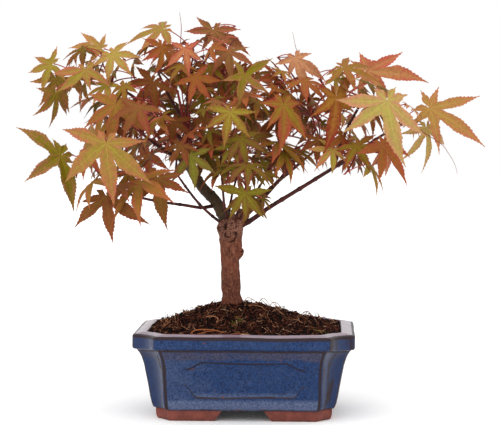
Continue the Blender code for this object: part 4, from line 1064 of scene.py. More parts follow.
class Nodes:
    """Short ways to add shader nodes and join them."""

    def __init__(self, name, roughness, specular):
        self.material = plain(name, (0.8, 0.8, 0.8), roughness, specular)
        self.tree = self.material.node_tree
        self.shader = self.tree.nodes["Principled BSDF"]
        self.place = self.tree.nodes.new("ShaderNodeTexCoord").outputs["Object"]

    def put(self, value, socket):
        if isinstance(value, bpy.types.NodeSocket):
            self.tree.links.new(value, socket)
        elif socket.type == "RGBA":
            socket.default_value = (*value, 1)
        else:
            socket.default_value = value

    def noise(self, scale, detail, stretch=None):
        """Noise of this scale. A stretch below 1 draws it out along Z."""
        node = self.tree.nodes.new("ShaderNodeTexNoise")
        node.inputs["Scale"].default_value = scale
        node.inputs["Detail"].default_value = detail
        place = self.place
        if stretch:
            shift = self.tree.nodes.new("ShaderNodeMapping")
            shift.inputs["Scale"].default_value = (1, 1, stretch)
            self.tree.links.new(place, shift.inputs["Vector"])
            place = shift.outputs["Vector"]
        self.tree.links.new(place, node.inputs["Vector"])
        return node.outputs["Fac"]

    def attribute(self, name):
        node = self.tree.nodes.new("ShaderNodeAttribute")
        node.attribute_name = name
        return node.outputs["Fac"]

    def between(self, value, low, high, to_low=0.0, to_high=1.0):
        node = self.tree.nodes.new("ShaderNodeMapRange")
        node.interpolation_type = "SMOOTHSTEP"
        ends = {"From Min": low, "From Max": high, "To Min": to_low, "To Max": to_high}
        for socket, number in ends.items():
            node.inputs[socket].default_value = number
        self.put(value, node.inputs["Value"])
        return node.outputs["Result"]

    def maths(self, operation, first, second):
        node = self.tree.nodes.new("ShaderNodeMath")
        node.operation = operation
        self.put(first, node.inputs[0])
        self.put(second, node.inputs[1])
        return node.outputs["Value"]

    def mix(self, share, first, second):
        node = self.tree.nodes.new("ShaderNodeMix")
        node.data_type = "RGBA"
        self.put(share, node.inputs["Factor"])
        self.put(first, node.inputs["A"])
        self.put(second, node.inputs["B"])
        return node.outputs["Result"]

    def mottled(self, value, first, second):
        """Two colours that give way to each other about the middle of a noise."""
        return self.mix(self.between(value, 0.35, 0.65), srgb(first), srgb(second))

    def over(self, under, value, low, high, most, colour):
        """A colour laid over what is under it, by up to this share as a value rises from low to high."""
        return self.mix(self.between(value, low, high, 0, most), under, srgb(colour))

    def bump(self, height, distance, strength):
        node = self.tree.nodes.new("ShaderNodeBump")
        node.inputs["Strength"].default_value = strength
        node.inputs["Distance"].default_value = distance
        self.put(height, node.inputs["Height"])
        self.tree.links.new(node.outputs["Normal"], self.shader.inputs["Normal"])

    def done(self, colour, roughness=None):
        self.put(colour, self.shader.inputs["Base Color"])
        if roughness is not None:
            self.put(roughness, self.shader.inputs["Roughness"])
        return self.material


# Leaves in fine detail


def lobe_width(share):
    """Half the width of a lobe at this share of its length, where its widest is 1."""
    return np.interp(share, LOBE_PROFILE[0], LOBE_PROFILE[1])


def blade_at(leaf, x, y, lift):
    """Points of the blade from flat places on it, in shares of its length, on its solid's own curl."""
    out = np.hypot(x, y)
    bent = np.where(out > 1e-9, np.sin(leaf.curl * out) / (leaf.curl * np.maximum(out, 1e-9)), 1.0)
    down = (1 - np.cos(leaf.curl * out)) / leaf.curl
    along, across, normal = (np.array(v) for v in (leaf.along, leaf.across, leaf.normal))
    flat = (x * bent)[..., None] * along + (y * bent)[..., None] * across
    return np.array(leaf.base) + leaf.length * (flat + (lift - down)[..., None] * normal)


def all_lobes(leaf, rng):
    """The leaf's lobes with the two small ones beside its stalk, where there is room for them."""
    lobes = list(leaf.lobes)
    if lobes[0][0] > -BASAL_ROOM:
        lobes.insert(0, (max(lobes[0][0] - BASAL_STEP, -BASAL_LIMIT), BASAL_SHARE * rng.uniform(0.8, 1.2)))
    if lobes[-1][0] < BASAL_ROOM:
        lobes.append((min(lobes[-1][0] + BASAL_STEP, BASAL_LIMIT), BASAL_SHARE * rng.uniform(0.8, 1.2)))
    return lobes


def grow_leaf(gather, leaf, tint, rng, slim=1.0):
    """One blade, lobe by lobe, with its toothed edge, its midribs and its bands of colour.

    Each lobe is a grid: rows out along it at the shares t of the leaf's length, columns across it. Near its
    foot its sides run along the web that it shares with its neighbours, and beyond the sinus they are free.
    """
    length = leaf.length / MM
    rows = int(min(max(length / ROW_PITCH, ROWS_LEAST), ROWS_MOST))
    lobes = all_lobes(leaf, rng)
    ripple, fold = rng.uniform(0, 2 * math.pi), rng.uniform(*LOBE_FOLD)
    middle = len(lobes) // 2
    for number, (angle, reach) in enumerate(lobes):
        before = lobes[number - 1][0] if number else angle - 2 * OUTER_SIDE
        after = lobes[number + 1][0] if number + 1 < len(lobes) else angle + 2 * OUTER_SIDE
        halves = [math.radians(abs(angle - other) / 2) for other in (before, after)]
        t = np.append(np.arange(0, reach - 0.5 / rows, 1 / rows), reach)
        share = t / reach
        sides, free_from = [], []
        for half, near in zip(halves, (number - 1, number)):
            sinus = (FINE_SINUSES[0] if near in (middle - 1, middle) else FINE_SINUSES[1]) * math.cos(half)
            sinus = slim * min(sinus, 0.6 * reach)
            widest = slim * LOBE_HALF_WIDTH * max(reach, LOBE_LEAST)
            free = widest * lobe_width(share) * rng.uniform(*LOBE_SPREAD_FINE)
            web = t * math.tan(half)
            at_sinus = np.interp(sinus, t, web) - np.interp(sinus, t, free)
            rounded = free + max(at_sinus, 0) * np.clip(1 - (t - sinus) / SINUS_ROUND, 0, 1) ** 2
            width = np.where(t < sinus, web, np.minimum(web, rounded))
            loose = np.clip((t - sinus) / SINUS_ROUND, 0, 1) * np.clip((1 - share) / TIP_SHARE, 0, 1)
            tooth = np.where(np.arange(len(t)) % 2 == number % 2, TOOTH, -TOOTH)
            tooth = tooth * np.array([rng.uniform(*TOOTH_SPREAD) for _ in t])
            big = BIG_TOOTH * TOOTH * np.sin(np.arange(len(t)) * 1.05 + ripple)
            width = width + (tooth + big) * loose * (0.45 + 0.55 * width / LOBE_HALF_WIDTH)
            sides.append((np.maximum(width, TIP_WIDTH), np.where(tooth > 0, 1.0, -0.3) * TOOTH_LEAN * loose))
            free_from.append(sinus)
        past = np.clip((t - max(free_from)) / (reach - max(free_from)), 0, 1)
        narrower = np.minimum(sides[0][0], sides[1][0])
        rib = np.minimum(RIB_WIDTH * (1 - 0.85 * share) + RIB_LEAST, 0.4 * narrower)
        offsets, leans = [], []
        for way, (width, lean) in zip((-1, 1), sides):
            columns = [rib + (width - rib) * s for s in BANDS]
            steps = [lean * (s >= 1.0) for s in BANDS]
            order = range(len(BANDS))[::way]
            offsets += [way * columns[i] for i in order]
            leans += [steps[i] for i in order]
        offset = np.stack(offsets, 1)
        lean = np.stack([np.broadcast_to(s, t.shape) for s in leans], 1)
        bow = rng.uniform(-1, 1) * LOBE_BOW * past ** 1.5
        hook = rng.uniform(*LOBE_HOOK) * reach * past ** 2
        ahead = t[:, None] + lean
        swing = np.radians(angle) + bow[:, None]
        x = ahead * np.cos(swing) - offset * np.sin(swing)
        y = ahead * np.sin(swing) + offset * np.cos(swing)
        wave = EDGE_WAVE * np.sin(ahead * WAVE_COUNT + ripple + number)
        wave = wave * (np.abs(offset) / LOBE_HALF_WIDTH) ** 1.5
        lift = fold * np.abs(offset) + wave * past[:, None] - hook[:, None]
        gather.add_grid(blade_at(leaf, x, y, lift), bands_of(offset, t, share, tint, rng))


def bands_of(offset, t, share, tint, rng):
    """The finish of each face of a lobe: its midrib, and steps of colour out to its edge and tip."""
    columns = offset.shape[1] - 1
    middle = columns // 2
    out = np.array([abs(j - middle) / middle for j in range(columns)])
    patchy = rng.uniform(0.65, 1.2) + 0.22 * np.sin(t[:-1] * rng.uniform(7, 13) + rng.uniform(0, 6.3))
    level = tint["edge"] * patchy[:, None] * np.clip((out - 0.15) / 0.85, 0, 1)[None, :] ** 1.3
    level = level + tint["tip"] * (share[:-1, None] - 0.45)
    veins = np.sin((t[:-1, None] - 0.10 * out[None, :]) * SIDE_VEINS + tint["start"])
    level = level + tint["shade"] + SIDE_VEIN_DEPTH * veins
    level = level + np.array([[rng.gauss(0, FACE_SWAY) for _ in range(columns)] for _ in t[:-1]])
    level = (level + rng.gauss(0, LOBE_TONE_SWAY) + TINT_BELOW) / TINT_RANGE
    step = np.clip(np.round(level * (TINT_STEPS - 1)), 0, TINT_STEPS - 1).astype(int)
    numbers = tint["first"] + 1 + step
    numbers[share[:-1] < RIB_END, middle] = tint["first"]
    return numbers


class Tints:
    """The leaves' finishes: for each tint its rib, then steps from the blade's middle to its edge."""

    def __init__(self):
        self.finishes, self.first = [], {}
        for name, (rib, middle, edge) in TINTS.items():
            self.first[name] = len(self.finishes)
            rib, middle, edge = (np.array(srgb(c)) * LEAF_LIGHT for c in (rib, middle, edge))
            rib = RIB_SHARE * rib + (1 - RIB_SHARE) * middle
            self.finishes.append(plain(f"leaf_{name}_rib", rib, LEAF_ROUGH, LEAF_GLOSS))
            for i in range(TINT_STEPS):
                blade = middle + (TINT_RANGE * i / (TINT_STEPS - 1) - TINT_BELOW) * (edge - middle)
                blade = blade * (1 + TINT_MOTTLE * (-1) ** i)
                self.finishes.append(plain(f"leaf_{name}_{i}", blade, LEAF_ROUGH, LEAF_GLOSS))

    def deal(self, name, rng):
        return {"first": self.first[name], "edge": rng.uniform(0.6, 1.0), "tip": rng.uniform(0.8, 1.4),
                "shade": rng.uniform(-0.12, 0.15), "start": rng.uniform(0, 6.3)}


def tint_names(mass):
    """A tint for each leaf of a mass. The leading leaves have their own, and the others go by the spray."""
    rng = random.Random(mass.name + " tints")
    names = list(LEADING_TINTS.get(mass.name, ()))[:len(mass.leaves)]
    palette = SPRAY_TINTS.get(mass.name, USUAL_TINTS)
    while len(names) < len(mass.leaves):
        names += [rng.choice(palette)] * rng.choice((1, 2, 2, 3))
    return names[:len(mass.leaves)]


def dress_mass(mass, tints, wood):
    """The fine leaves, and the twigs and stalks, of one mass, in place of its solid."""
    rng = random.Random(mass.name + " looks")
    leaves, twigs = Gather(), Gather()
    for (leaf, stalk), name in zip(mass.leaves, tint_names(mass)):
        grow_leaf(leaves, leaf, tints.deal(name, rng), rng, SLIM_LEAVES.get(mass.name, 1.0))
        line = finer(stalk, STALK_STEPS)
        radii = np.interp(np.linspace(0, 1, len(line)), STALK_PLACES, STALK_RADII) * MM
        twigs.add_grid(tube_grid(line, radii, STALK_SIDES), rng.choice(STALK_FINISHES), closed=True)
    for number, (line, radii) in enumerate(mass.twigs):
        fine = finer(line, FINE_TWIG_STEPS)
        thin = 1.0 if number < mass.main_twigs else FINE_TWIG_THIN
        ends = [radii[i] * thin * TWIG_SLIM if number else radii[i] for i in (0, -1)]
        rings = np.linspace(ends[0], ends[1], len(fine))
        rings[-1] *= BUD_SWELL
        twigs.add_grid(tube_grid(fine, rings, FINE_TWIG_SIDES), number % 2 if number else 0, closed=True)
    for route, radius in FREE_TWIGS.get(mass.name, ()):
        start = Vector(route[0])
        near = min((p for line, _ in mass.twigs for p in line), key=lambda p: (p / MM - start).length)
        line = finer([near, *[point(*p) for p in route]], FREE_TWIG_STEPS)
        radii = np.linspace(radius, FREE_TWIG_TIP * radius, len(line)) * MM
        twigs.add_grid(tube_grid(line, radii, STALK_SIDES), 1, closed=True)
    place = np.array([SHIFT.x, SHIFT.y, 0.0])
    for gather in (leaves, twigs):
        gather.points = [points + place for points in gather.points]
    blades = leaves.build(mass.name + "_leaves", tints.finishes)
    stems = twigs.build(mass.name + "_twigs", wood)
    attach(blades, "root")
    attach(stems, "root")
    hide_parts(mass.name)
    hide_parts(mass.name)


# The trunk and the limbs, with their bark's relief


def on_profile(z):
    """The trunk's middle and radius at these heights in millimetres."""
    heights, middles, radii = (np.array(v) for v in zip(*TRUNK_PROFILE))
    grid = np.linspace(heights[0], heights[-1], 60)
    found = []
    for values in (middles, radii):
        ends = np.pad(np.interp(grid, heights, values), 2, mode="edge")
        found.append(np.interp(z, grid, np.convolve(ends, np.ones(5) / 5, "valid")))
    return found


def bark_relief(skin, way, z, noise):
    """How far the bark stands out at each point of the bare trunk: in all, and by cracks and pits alone."""
    plates = noise(skin * (1, 1, 0.42), 1.9)
    cracks = -np.abs(noise(skin * (1, 1, 0.3) + 40, 2.6)) ** 0.7
    fine = noise(skin * (1, 1, 0.6) + 9, 0.7)
    rough = np.interp(z, *BARK_ROUGH)[:, None]
    cracked = rough * (BARK_SHARES[0] * plates + BARK_SHARES[1] * cracks + BARK_SHARES[2] * fine)
    relief = cracked + LUMP_SHARE * noise(skin + 17, 6.0)
    for spot, size, height in SWELLINGS:
        near = np.linalg.norm((skin - np.array(spot)) * (1, 1, 0.85), axis=-1) / size
        bulge = np.exp(-near ** 2 * 1.1)
        relief += height * bulge + 0.35 * rough * bulge * noise(skin + 70, 1.3)
    front = np.clip(-way[None, :, 1] * 2 - 0.1, 0, 1)
    for x, up, wide, high, deep in PITS:
        pit = deep * front * np.exp(-((skin[..., 0] - x) / wide) ** 2 - ((skin[..., 2] - up) / high) ** 2)
        relief -= pit
        cracked -= pit
    # The healed cut: calm bark, raised in the middle, in a ring that is deepest at its lower right
    from_scar = np.hypot(skin[..., 0] - SCAR[0], skin[..., 2] - SCAR[1])
    low_right = (skin[..., 0] - SCAR[0] - skin[..., 2] + SCAR[1]) / np.maximum(from_scar, 0.1)
    ring = SCAR_DEPTH * front * np.exp(-((from_scar - SCAR_RING) / SCAR_WIDTH) ** 2)
    ring = ring * (0.2 + 0.8 * step_up(low_right, -0.5, 0.7))
    calm = 1 - 0.85 * front * (1 - step_up(from_scar, SCAR_SMOOTH - 0.6, SCAR_SMOOTH + 0.4))
    rise = front * SCAR_RISE * np.exp(-(from_scar / (SCAR_RING - SCAR_WIDTH)) ** 4)
    return relief * calm + (rise - ring), cracked * calm - ring


def dress_trunk(finish):
    """The trunk as one skin: bark in plates and cracks, and swellings with rough lips where cuts healed."""
    noise = smooth_noise(41)
    low, high = TRUNK_PROFILE[0][0], TRUNK_PROFILE[-1][0]
    z = np.linspace(low, high, TRUNK_ROWS)
    turn = np.linspace(0, 2 * np.pi, TRUNK_COLUMNS, endpoint=False)
    middle, radius = on_profile(z)
    cap = np.clip((high - z) / CROWN_ROUND, 0, 1)
    radius = radius * np.where(cap < 1, np.sqrt(1 - (1 - cap) ** 2 * 0.92), 1.0)
    radius = radius - FOOT_SLIM * (1 - step_up(z, FOOT_SLIM_TOP - 4, FOOT_SLIM_TOP))
    way = np.stack([np.cos(turn), TRUNK_DEPTH_SHARE * np.sin(turn), 0 * turn], -1)
    skin = np.stack([middle, 0 * z, z], -1)[:, None] + radius[:, None, None] * way[None]
    relief, cracked = bark_relief(skin, way, z, noise)
    skin = skin + relief[..., None] * way[None]
    base, top = skin[0].mean(0), skin[-1].mean(0)
    grid = np.array([base + 0.02 * (skin[0] - base), *skin, top + 0.5 * (skin[-1] - top) + (0, 0, 0.3),
                     top + 0.02 * (skin[-1] - top) + (0, 0, 0.4)])
    gather = Gather()
    gather.add_grid(placed(grid), 0, closed=True)
    # Each point's depth and height, with the rings that close the skin at its foot and at its top
    depths = [np.concatenate([cracked[:1], cracked, cracked[-1:], cracked[-1:]]).ravel()]
    heights = [np.repeat(np.concatenate([z[:1], z, z[-1:], z[-1:]]), TRUNK_COLUMNS)]
    for knob in FINE_KNOBS:
        stub, depth = knob_grid(knob, noise)
        gather.add_grid(placed(stub), 0, closed=True)
        depths.append(depth.ravel())
        heights.append(stub[..., 2].ravel())
    trunk = gather.build("trunk_bark", [finish])
    mark(trunk, "relief", np.concatenate(depths))
    mark(trunk, "height", np.concatenate(heights))
    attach(trunk, "root")
    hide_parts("trunk")


def knob_grid(knob, noise):
    """A stub left by a cut, with a rounded lip round a hollow end, as rings of points and their depth."""
    first, last, wide, narrow = knob
    first, last = np.array(first, float), np.array(last, float)
    long = np.linalg.norm(last - first)
    share = np.concatenate([np.linspace(0, 1, KNOB_ROWS), np.ones(len(KNOB_LIP))])
    radii = np.interp(share, (0, 0.6, 0.9, 1), (wide, 0.95 * wide, narrow + 0.5, narrow))
    radii[KNOB_ROWS:] = narrow * np.array(KNOB_LIP)
    sunk = np.zeros(len(share))
    sunk[KNOB_ROWS:] = -np.array(KNOB_SUNK) * narrow / 2.4
    along = (last - first) / long
    line = first + along * (share * long + sunk)[:, None]
    side = np.cross(along, (0, 0, 1))
    side /= np.linalg.norm(side)
    other = np.cross(along, side)
    turn = np.linspace(0, 2 * np.pi, KNOB_COLUMNS, endpoint=False)
    ring = np.cos(turn)[:, None] * side + np.sin(turn)[:, None] * other
    grid = line[:, None] + radii[:, None, None] * ring[None]
    rough = 0.45 * noise(grid, 2.4) - 0.35 * np.abs(noise(grid + 11, 1.5)) + 0.2 * noise(grid + 5, 0.8)
    rough[-3:] *= 0.3
    grid = grid + rough[..., None] * ring[None]
    return grid, rough - 0.2 + 1.1 * sunk[:, None]


def mark(thing, name, values):
    """Keeps a number at each point of a mesh, for its finish to use."""
    attribute = thing.data.attributes.new(name, "FLOAT", "POINT")
    attribute.data.foreach_set("value", np.asarray(values, np.float32))


def dress_limbs():
    """Each limb as a smooth skin with rings where shoots stood, and a swelling at its foot."""
    usual, of_leader = (limb_finish(*look) for look in LIMB_LOOKS)
    noise = smooth_noise(43)
    for name, (_, foot, tip, corners) in LIMBS.items():
        rng = random.Random(name)
        route = array(smooth_route([point(*p) for p in corners], LIMB_FINE_STEPS)) / MM
        if name == "leader":
            for side, height, span in LEADER_BENDS:
                route[:, 0] += side * np.exp(-((route[:, 2] - height) / span) ** 2)
        steps = np.linalg.norm(np.diff(route, axis=0), axis=1)
        so_far = np.concatenate([[0], np.cumsum(steps)])
        radii = np.linspace(foot, tip, len(route))
        radii = radii * (1 + FOOT_SWELL * np.exp(-so_far / (FOOT_SWELL_SPAN * foot)))
        if name == "leader":
            thicker, height, span = LEADER_THICKER
            radii = radii * (1 + thicker * np.exp(-((route[:, 2] - height) / span) ** 2))
        place = NODE_SPACING * rng.uniform(0.4, 0.8)
        while place < so_far[-1]:
            radii = radii + RING_RISE * foot ** 0.5 * np.exp(-((so_far - place) / RING_WIDTH) ** 2)
            place += NODE_SPACING * rng.uniform(0.55, 0.9)
        sides = LIMB_FINE_SIDES if foot < STOUT_LIMB else 2 * LIMB_FINE_SIDES
        grid = tube_grid(route, radii, sides)
        away = grid - grid.mean(1, keepdims=True)
        away = away / np.maximum(np.linalg.norm(away, axis=-1, keepdims=True), 1e-9)
        lump = LIMB_LUMP * foot * noise(grid, 2.2) + LIMB_GRAIN * foot * noise(grid + 30, 0.8)
        grid = grid + away * lump[..., None]
        gather = Gather()
        gather.add_grid(placed(grid), 0, closed=True)
        limb = gather.build(name + "_bark", [of_leader if name == "leader" else usual])
        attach(limb, "root")
        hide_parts(name)


def trunk_finish():
    look = Nodes("bark", 0.8, 0.12)
    relief, height = look.attribute("relief"), look.attribute("height")
    grain, streak, patch = look.noise(1100, 3, 0.6), look.noise(650, 4, 0.35), look.noise(130, 3, 0.6)
    low = look.mottled(streak, (78, 42, 32), (104, 60, 46))
    upper = look.mottled(streak, (98, 56, 42), (132, 82, 62))
    ruddy = look.mix(look.between(height, 86, 116), low, upper)
    ruddy = look.over(ruddy, patch, 0.42, 0.65, 0.5, (112, 58, 42))
    ruddy = look.over(ruddy, grain, 0.55, 0.68, 0.55, (156, 106, 84))
    ruddy = look.mix(look.between(grain, 0.32, 0.42, 0.4, 0), ruddy, srgb((62, 34, 28)))
    head = look.mottled(grain, (112, 74, 58), (160, 112, 94))
    head = look.over(head, look.noise(700, 3), 0.5, 0.62, 0.75, (58, 32, 26))
    colour = look.mix(look.between(height, 120, 129, 0.0, 0.9), ruddy, head)
    # Painted shade: the bark is painted nearly black where its cracks, pits and the scar's ring sink deepest
    colour = look.mix(look.between(relief, -1.25, -0.35, 0.92, 0.0), colour, srgb((44, 24, 20)))
    look.bump(grain, 0.0006, 0.7)
    return look.done(colour)


def limb_finish(name, patch, speck, colours, flecks, bump):
    """Smooth bark in two colours, with flecks of a third."""
    look = Nodes(name, 0.55, 0.15)
    patch, speck = look.noise(*patch), look.noise(*speck)
    colour = look.over(look.mottled(patch, *colours), speck, *flecks)
    look.bump(speck, *bump)
    return look.done(colour)


# The pot: its glazed body with framed faces, and its unglazed feet


def fine_plan(inset, height, notch_share):
    """The pot's plan with scooped notches and many points, always in the same order."""
    corners = array(pot_outline(inset, height, notch_share))[:, :2] / MM
    points = []
    for first in range(0, len(corners), 4):
        start, end = corners[first], corners[first + 3]
        before, after = corners[first - 1], corners[(first + 4) % len(corners)]
        inwards = [np.where(np.abs(a) < np.abs(a[::-1]), 1.0, SCOOP_SLANT) * np.sign(b) for a, b in (
            (start - before, end - start), (end - after, start - end))]
        handles = [way / np.linalg.norm(way) * SCOOP * notch_share for way in inwards]
        t = np.linspace(0, 1, NOTCH_STEPS + 1)[:, None]
        curve = ((1 - t) ** 3 * start + 3 * (1 - t) ** 2 * t * (start + handles[0])
                 + 3 * (1 - t) * t ** 2 * (end + handles[1]) + t ** 3 * end)
        face = before + (start - before) * np.linspace(0, 1, FACE_POINTS[(first - 1) % 16] + 2)[1:-1, None]
        points += [face, curve]
    return rounded_off(np.concatenate(points))


def rounded_off(points):
    """Softens the corners of a closed line of points."""
    for _ in range(CORNER_POINTS):
        points = 0.5 * points + 0.25 * (np.roll(points, 1, 0) + np.roll(points, -1, 0))
    return points


def pot_sections():
    """The pot's section from under its floor, up the outside, over the rim and down inside.

    Each step is (inset, z, how deep its corner notches are).
    """
    heights, insets = (np.array(v) for v in zip(*GLAZE_PROFILE))
    sections = [(inset, FOOT_HEIGHT, FOOT_NOTCH_SHARE) for inset in (40, 30, 18.6)]
    for z in np.arange(FOOT_HEIGHT, RIM_UNDER - 0.7, POT_ROW):
        share = FOOT_NOTCH_SHARE + (1 - FOOT_NOTCH_SHARE) * min(z / RIM_UNDER, 1)
        sections.append((np.interp(z, heights, insets), z, share))

    def lip(middle, first, last):
        for turn in np.radians(np.linspace(first, last, 6)):
            sections.append((RIM_LIP + RIM_LIP * math.cos(turn), middle + RIM_LIP * math.sin(turn), 1.0))

    lip(RIM_UNDER + RIM_LIP, 290, 180)
    sections.extend((0, z, 1.0) for z in np.arange(RIM_UNDER + 2.2, POT_HEIGHT - 1.7, POT_ROW))
    lip(POT_HEIGHT - RIM_LIP, 180, 90)
    for inset in np.linspace(2.2, RIM_WIDTH - INNER_LIP, RIM_ROWS):
        rise = RIM_RISE * step_up(inset, 0.6, RIM_WIDTH - 2)
        sections.append((inset, POT_HEIGHT + rise, 1 + (INNER_NOTCH_SHARE - 1) * inset / RIM_WIDTH))
    for turn in np.radians(np.linspace(70, 0, 5)):
        sections.append((RIM_WIDTH - INNER_LIP + INNER_LIP * math.cos(turn) * 0.99,
                         POT_HEIGHT + RIM_RISE - INNER_LIP + INNER_LIP * math.sin(turn), INNER_NOTCH_SHARE))
    low, low_inset = FOOT_HEIGHT + FLOOR_THICK, BODY_INSET + WALL
    for z in np.linspace(57, low, INNER_ROWS):
        share = (z - 13) / (POT_HEIGHT - 13)
        sections.append((low_inset + share * (RIM_WIDTH - low_inset), z, INNER_NOTCH_SHARE))
    sections.append((40, low, INNER_NOTCH_SHARE))
    return sections


def frame_on_face(along, z, half):
    """How deep the framed field of a face lies here, from 0 to 1, and how close its edge is."""
    away = np.abs(along)
    top = 42.2 - 5.2 * step_up(away, half - 29, half - 17) - 0.6 * np.sin(along * 0.07 + 1)
    low = 17.0 + 8.4 * step_up(away, half - 24, half - 15.5) + 0.4 * np.sin(along * 0.09)
    fade = 1 - step_up(away, half - 17, half - 13)
    inside = step_up(z, low - 0.2, low + 1.1) * (1 - step_up(z, top - 1.1, top + 0.2))
    near = np.exp(-((z - top + 0.3) / 0.75) ** 2) + np.exp(-((z - low - 0.2) / 0.75) ** 2)
    return inside * fade, near * fade


def dress_pot(glaze, clay):
    """The glazed body over its solid's wall, with the marks that its finish reads, and the bare feet."""
    noise = smooth_noise(47)
    sections = pot_sections()
    grid = np.array([np.column_stack([plan, np.full(len(plan), z)]) for plan, z in (
        (fine_plan(inset, z, share), z) for inset, z, share in sections)])
    inset = np.array([s[0] for s in sections])[:, None] + 0 * grid[..., 0]
    x, y, z = grid[..., 0], grid[..., 1], grid[..., 2]
    half_x, half_y = POT_WIDTH / 2 - inset, POT_DEPTH / 2 - inset
    on_front, on_side = np.abs(y) > half_y - 0.4, np.abs(x) > half_x - 0.4
    rows = np.arange(len(sections))[:, None]
    outside = (rows > 1) & (z < POT_HEIGHT - 0.2) & (inset < 17) & (rows < len(sections) - 16)
    wall = outside & (z < RIM_UNDER - 0.9) & (z > 8)
    front_in, front_edge = frame_on_face(x - 1.5 * np.sign(-y), z, FACE_HALF_FRONT)
    side_in, side_edge = frame_on_face(y, z, FACE_HALF_SIDE)
    field = np.where(on_front, front_in, np.where(on_side, side_in, 0)) * wall
    edge = np.where(on_front, front_edge, np.where(on_side, side_edge, 0)) * wall
    normal = np.where(on_front[..., None], np.stack([0 * x, np.sign(y), 0 * x], -1),
                      np.stack([np.sign(x), 0 * x, 0 * x], -1) * on_side[..., None])
    uneven = 0.28 * noise(grid, 22) + 0.1 * noise(grid + 9, 6)
    from_end = end_distance(x, y, half_x, half_y, z)
    groove = GROOVE * np.exp(-((from_end - GROOVE_IN) / 0.9) ** 2) - RIDGE * np.exp(-(from_end / 0.9) ** 2)
    grid = grid + normal * (-FIELD_DEPTH * field + uneven * outside - groove * wall)[..., None]
    sway = RIM_SWAY * (noise(grid * (1, 1, 0) + 5, 30) + 0.6 * step_up(np.abs(x), 15, 60))
    drop = RIM_DROP * step_up(np.abs(x), 56, 66) * np.exp(-((z - RIM_UNDER) / 3.6) ** 2)
    grid[..., 2] += sway * step_up(z, 45, 58) - drop * outside
    pot = Gather()
    pot.add_grid(placed(grid), 0, closed=True)
    pot = pot.build("pot_glaze", [glaze])
    fill_holes(pot)
    # Where the glaze breaks brown, where it is mauve, where it lies pale, with painted light on the front's
    # left end, where shade is painted in the notches and on the rim's ends and back, and the rim's top, painted
    # pale as a painted reflection
    corner = np.exp(-((from_end - GROOVE_IN + 0.2) / 1.2) ** 2)
    in_notch = np.exp(-((from_end + 3.4) / 2.4) ** 2)
    at_side = np.abs(y) < half_y - 3
    ridge = np.exp(-((from_end + 0.2) / 0.9) ** 2) * ~at_side
    outline = np.exp(-((half_x - np.abs(x) - 0.5) / 1.1) ** 2) * at_side * ~on_side
    ragged = noise(grid + 33, 3.2)
    under_rim = np.exp(-((z - RIM_UNDER + 1.0) / 0.8) ** 2)
    on_rim = outside & (z > RIM_UNDER) & (inset < 1.7)
    notch = outside & ~on_front & ~on_side
    streaks = 1.3 * np.clip(noise(grid * (1, 1, 0.12) + 3, 2.4), 0, 0.6) * notch
    brown = np.maximum.reduce([
        0.9 * edge, 1.1 * under_rim * outside, 1.05 * corner * wall, 0.9 * in_notch * on_rim * ~at_side,
        streaks, 0.9 * outline * outside, 0.45 * in_notch * wall * ~at_side,
        1.4 * (1 - step_up(inset, 1.6, 2.6)) * step_up(z, 57.6, 58.4) * (rows < len(sections) - 12),
        0.7 * np.exp(-((z - 8.4) / 0.7) ** 2) * wall, 1.2 * (rows < 3) + 0 * z])
    mauve = np.maximum.reduce([
        step_up(z, 41.5, 45.5) * wall * (1 - field), 0.9 * ridge * (wall | on_rim)])
    pale = np.maximum.reduce([
        (1 - step_up(z, 13.5, 17.0)) * wall * on_front, 0.7 * field * (1 - step_up(z, 18, 22)),
        # Painted light: the long faces grow paler towards one end, the front towards its left, where the light
        # comes from
        0.3 * step_up(-x * np.sign(-y), 10, 50) * wall * on_front])
    # Painted shade: the notches and the rim's ends and back get a darker blue
    shy = 0.9 * (notch | (on_rim & ~on_front))
    # Of these marks, the rim's top carries a painted reflection: its finish paints it pale
    for name, values in (
            ("brown", np.clip(brown + 0.22 * ragged * (brown > 0.15), 0, 1)),
            ("mauve", np.clip(mauve + 0.2 * ragged, 0, 1)), ("pale", np.clip(pale + 0.15 * ragged, 0, 1)),
            ("shy", shy), ("top", step_up(inset, 0.8, 2.2) * (z > POT_HEIGHT - 1.5) * (rows > 60))):
        mark(pot, name, values.ravel())
    for side in (-1, 1):
        bore = make_object("bore", drain(side * DRAIN_OFFSET))
        bore.data.transform(Matrix.Translation(SHIFT))
        cut_out(pot, [bore])
    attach(pot, "root")
    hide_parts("pot")
    foot = foot_shape(clay)
    foot.data.transform(Matrix.Translation(SHIFT))
    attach(foot, "root")
    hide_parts("pot")


def end_distance(x, y, half_x, half_y, z):
    """How far a place on a face lies from the face's end at a notch. It is negative in the notch."""
    share = FOOT_NOTCH_SHARE + (1 - FOOT_NOTCH_SHARE) * np.clip(z / (POT_HEIGHT - RIM_HEIGHT), 0, 1)
    front = half_x - NOTCH_ACROSS * share - np.abs(x)
    side = half_y - NOTCH_BACK * share - np.abs(y)
    into = np.minimum(half_x - np.abs(x), half_y - np.abs(y))
    return np.where(np.abs(y) > half_y - 0.4, front, np.where(np.abs(x) > half_x - 0.4, side, -into))


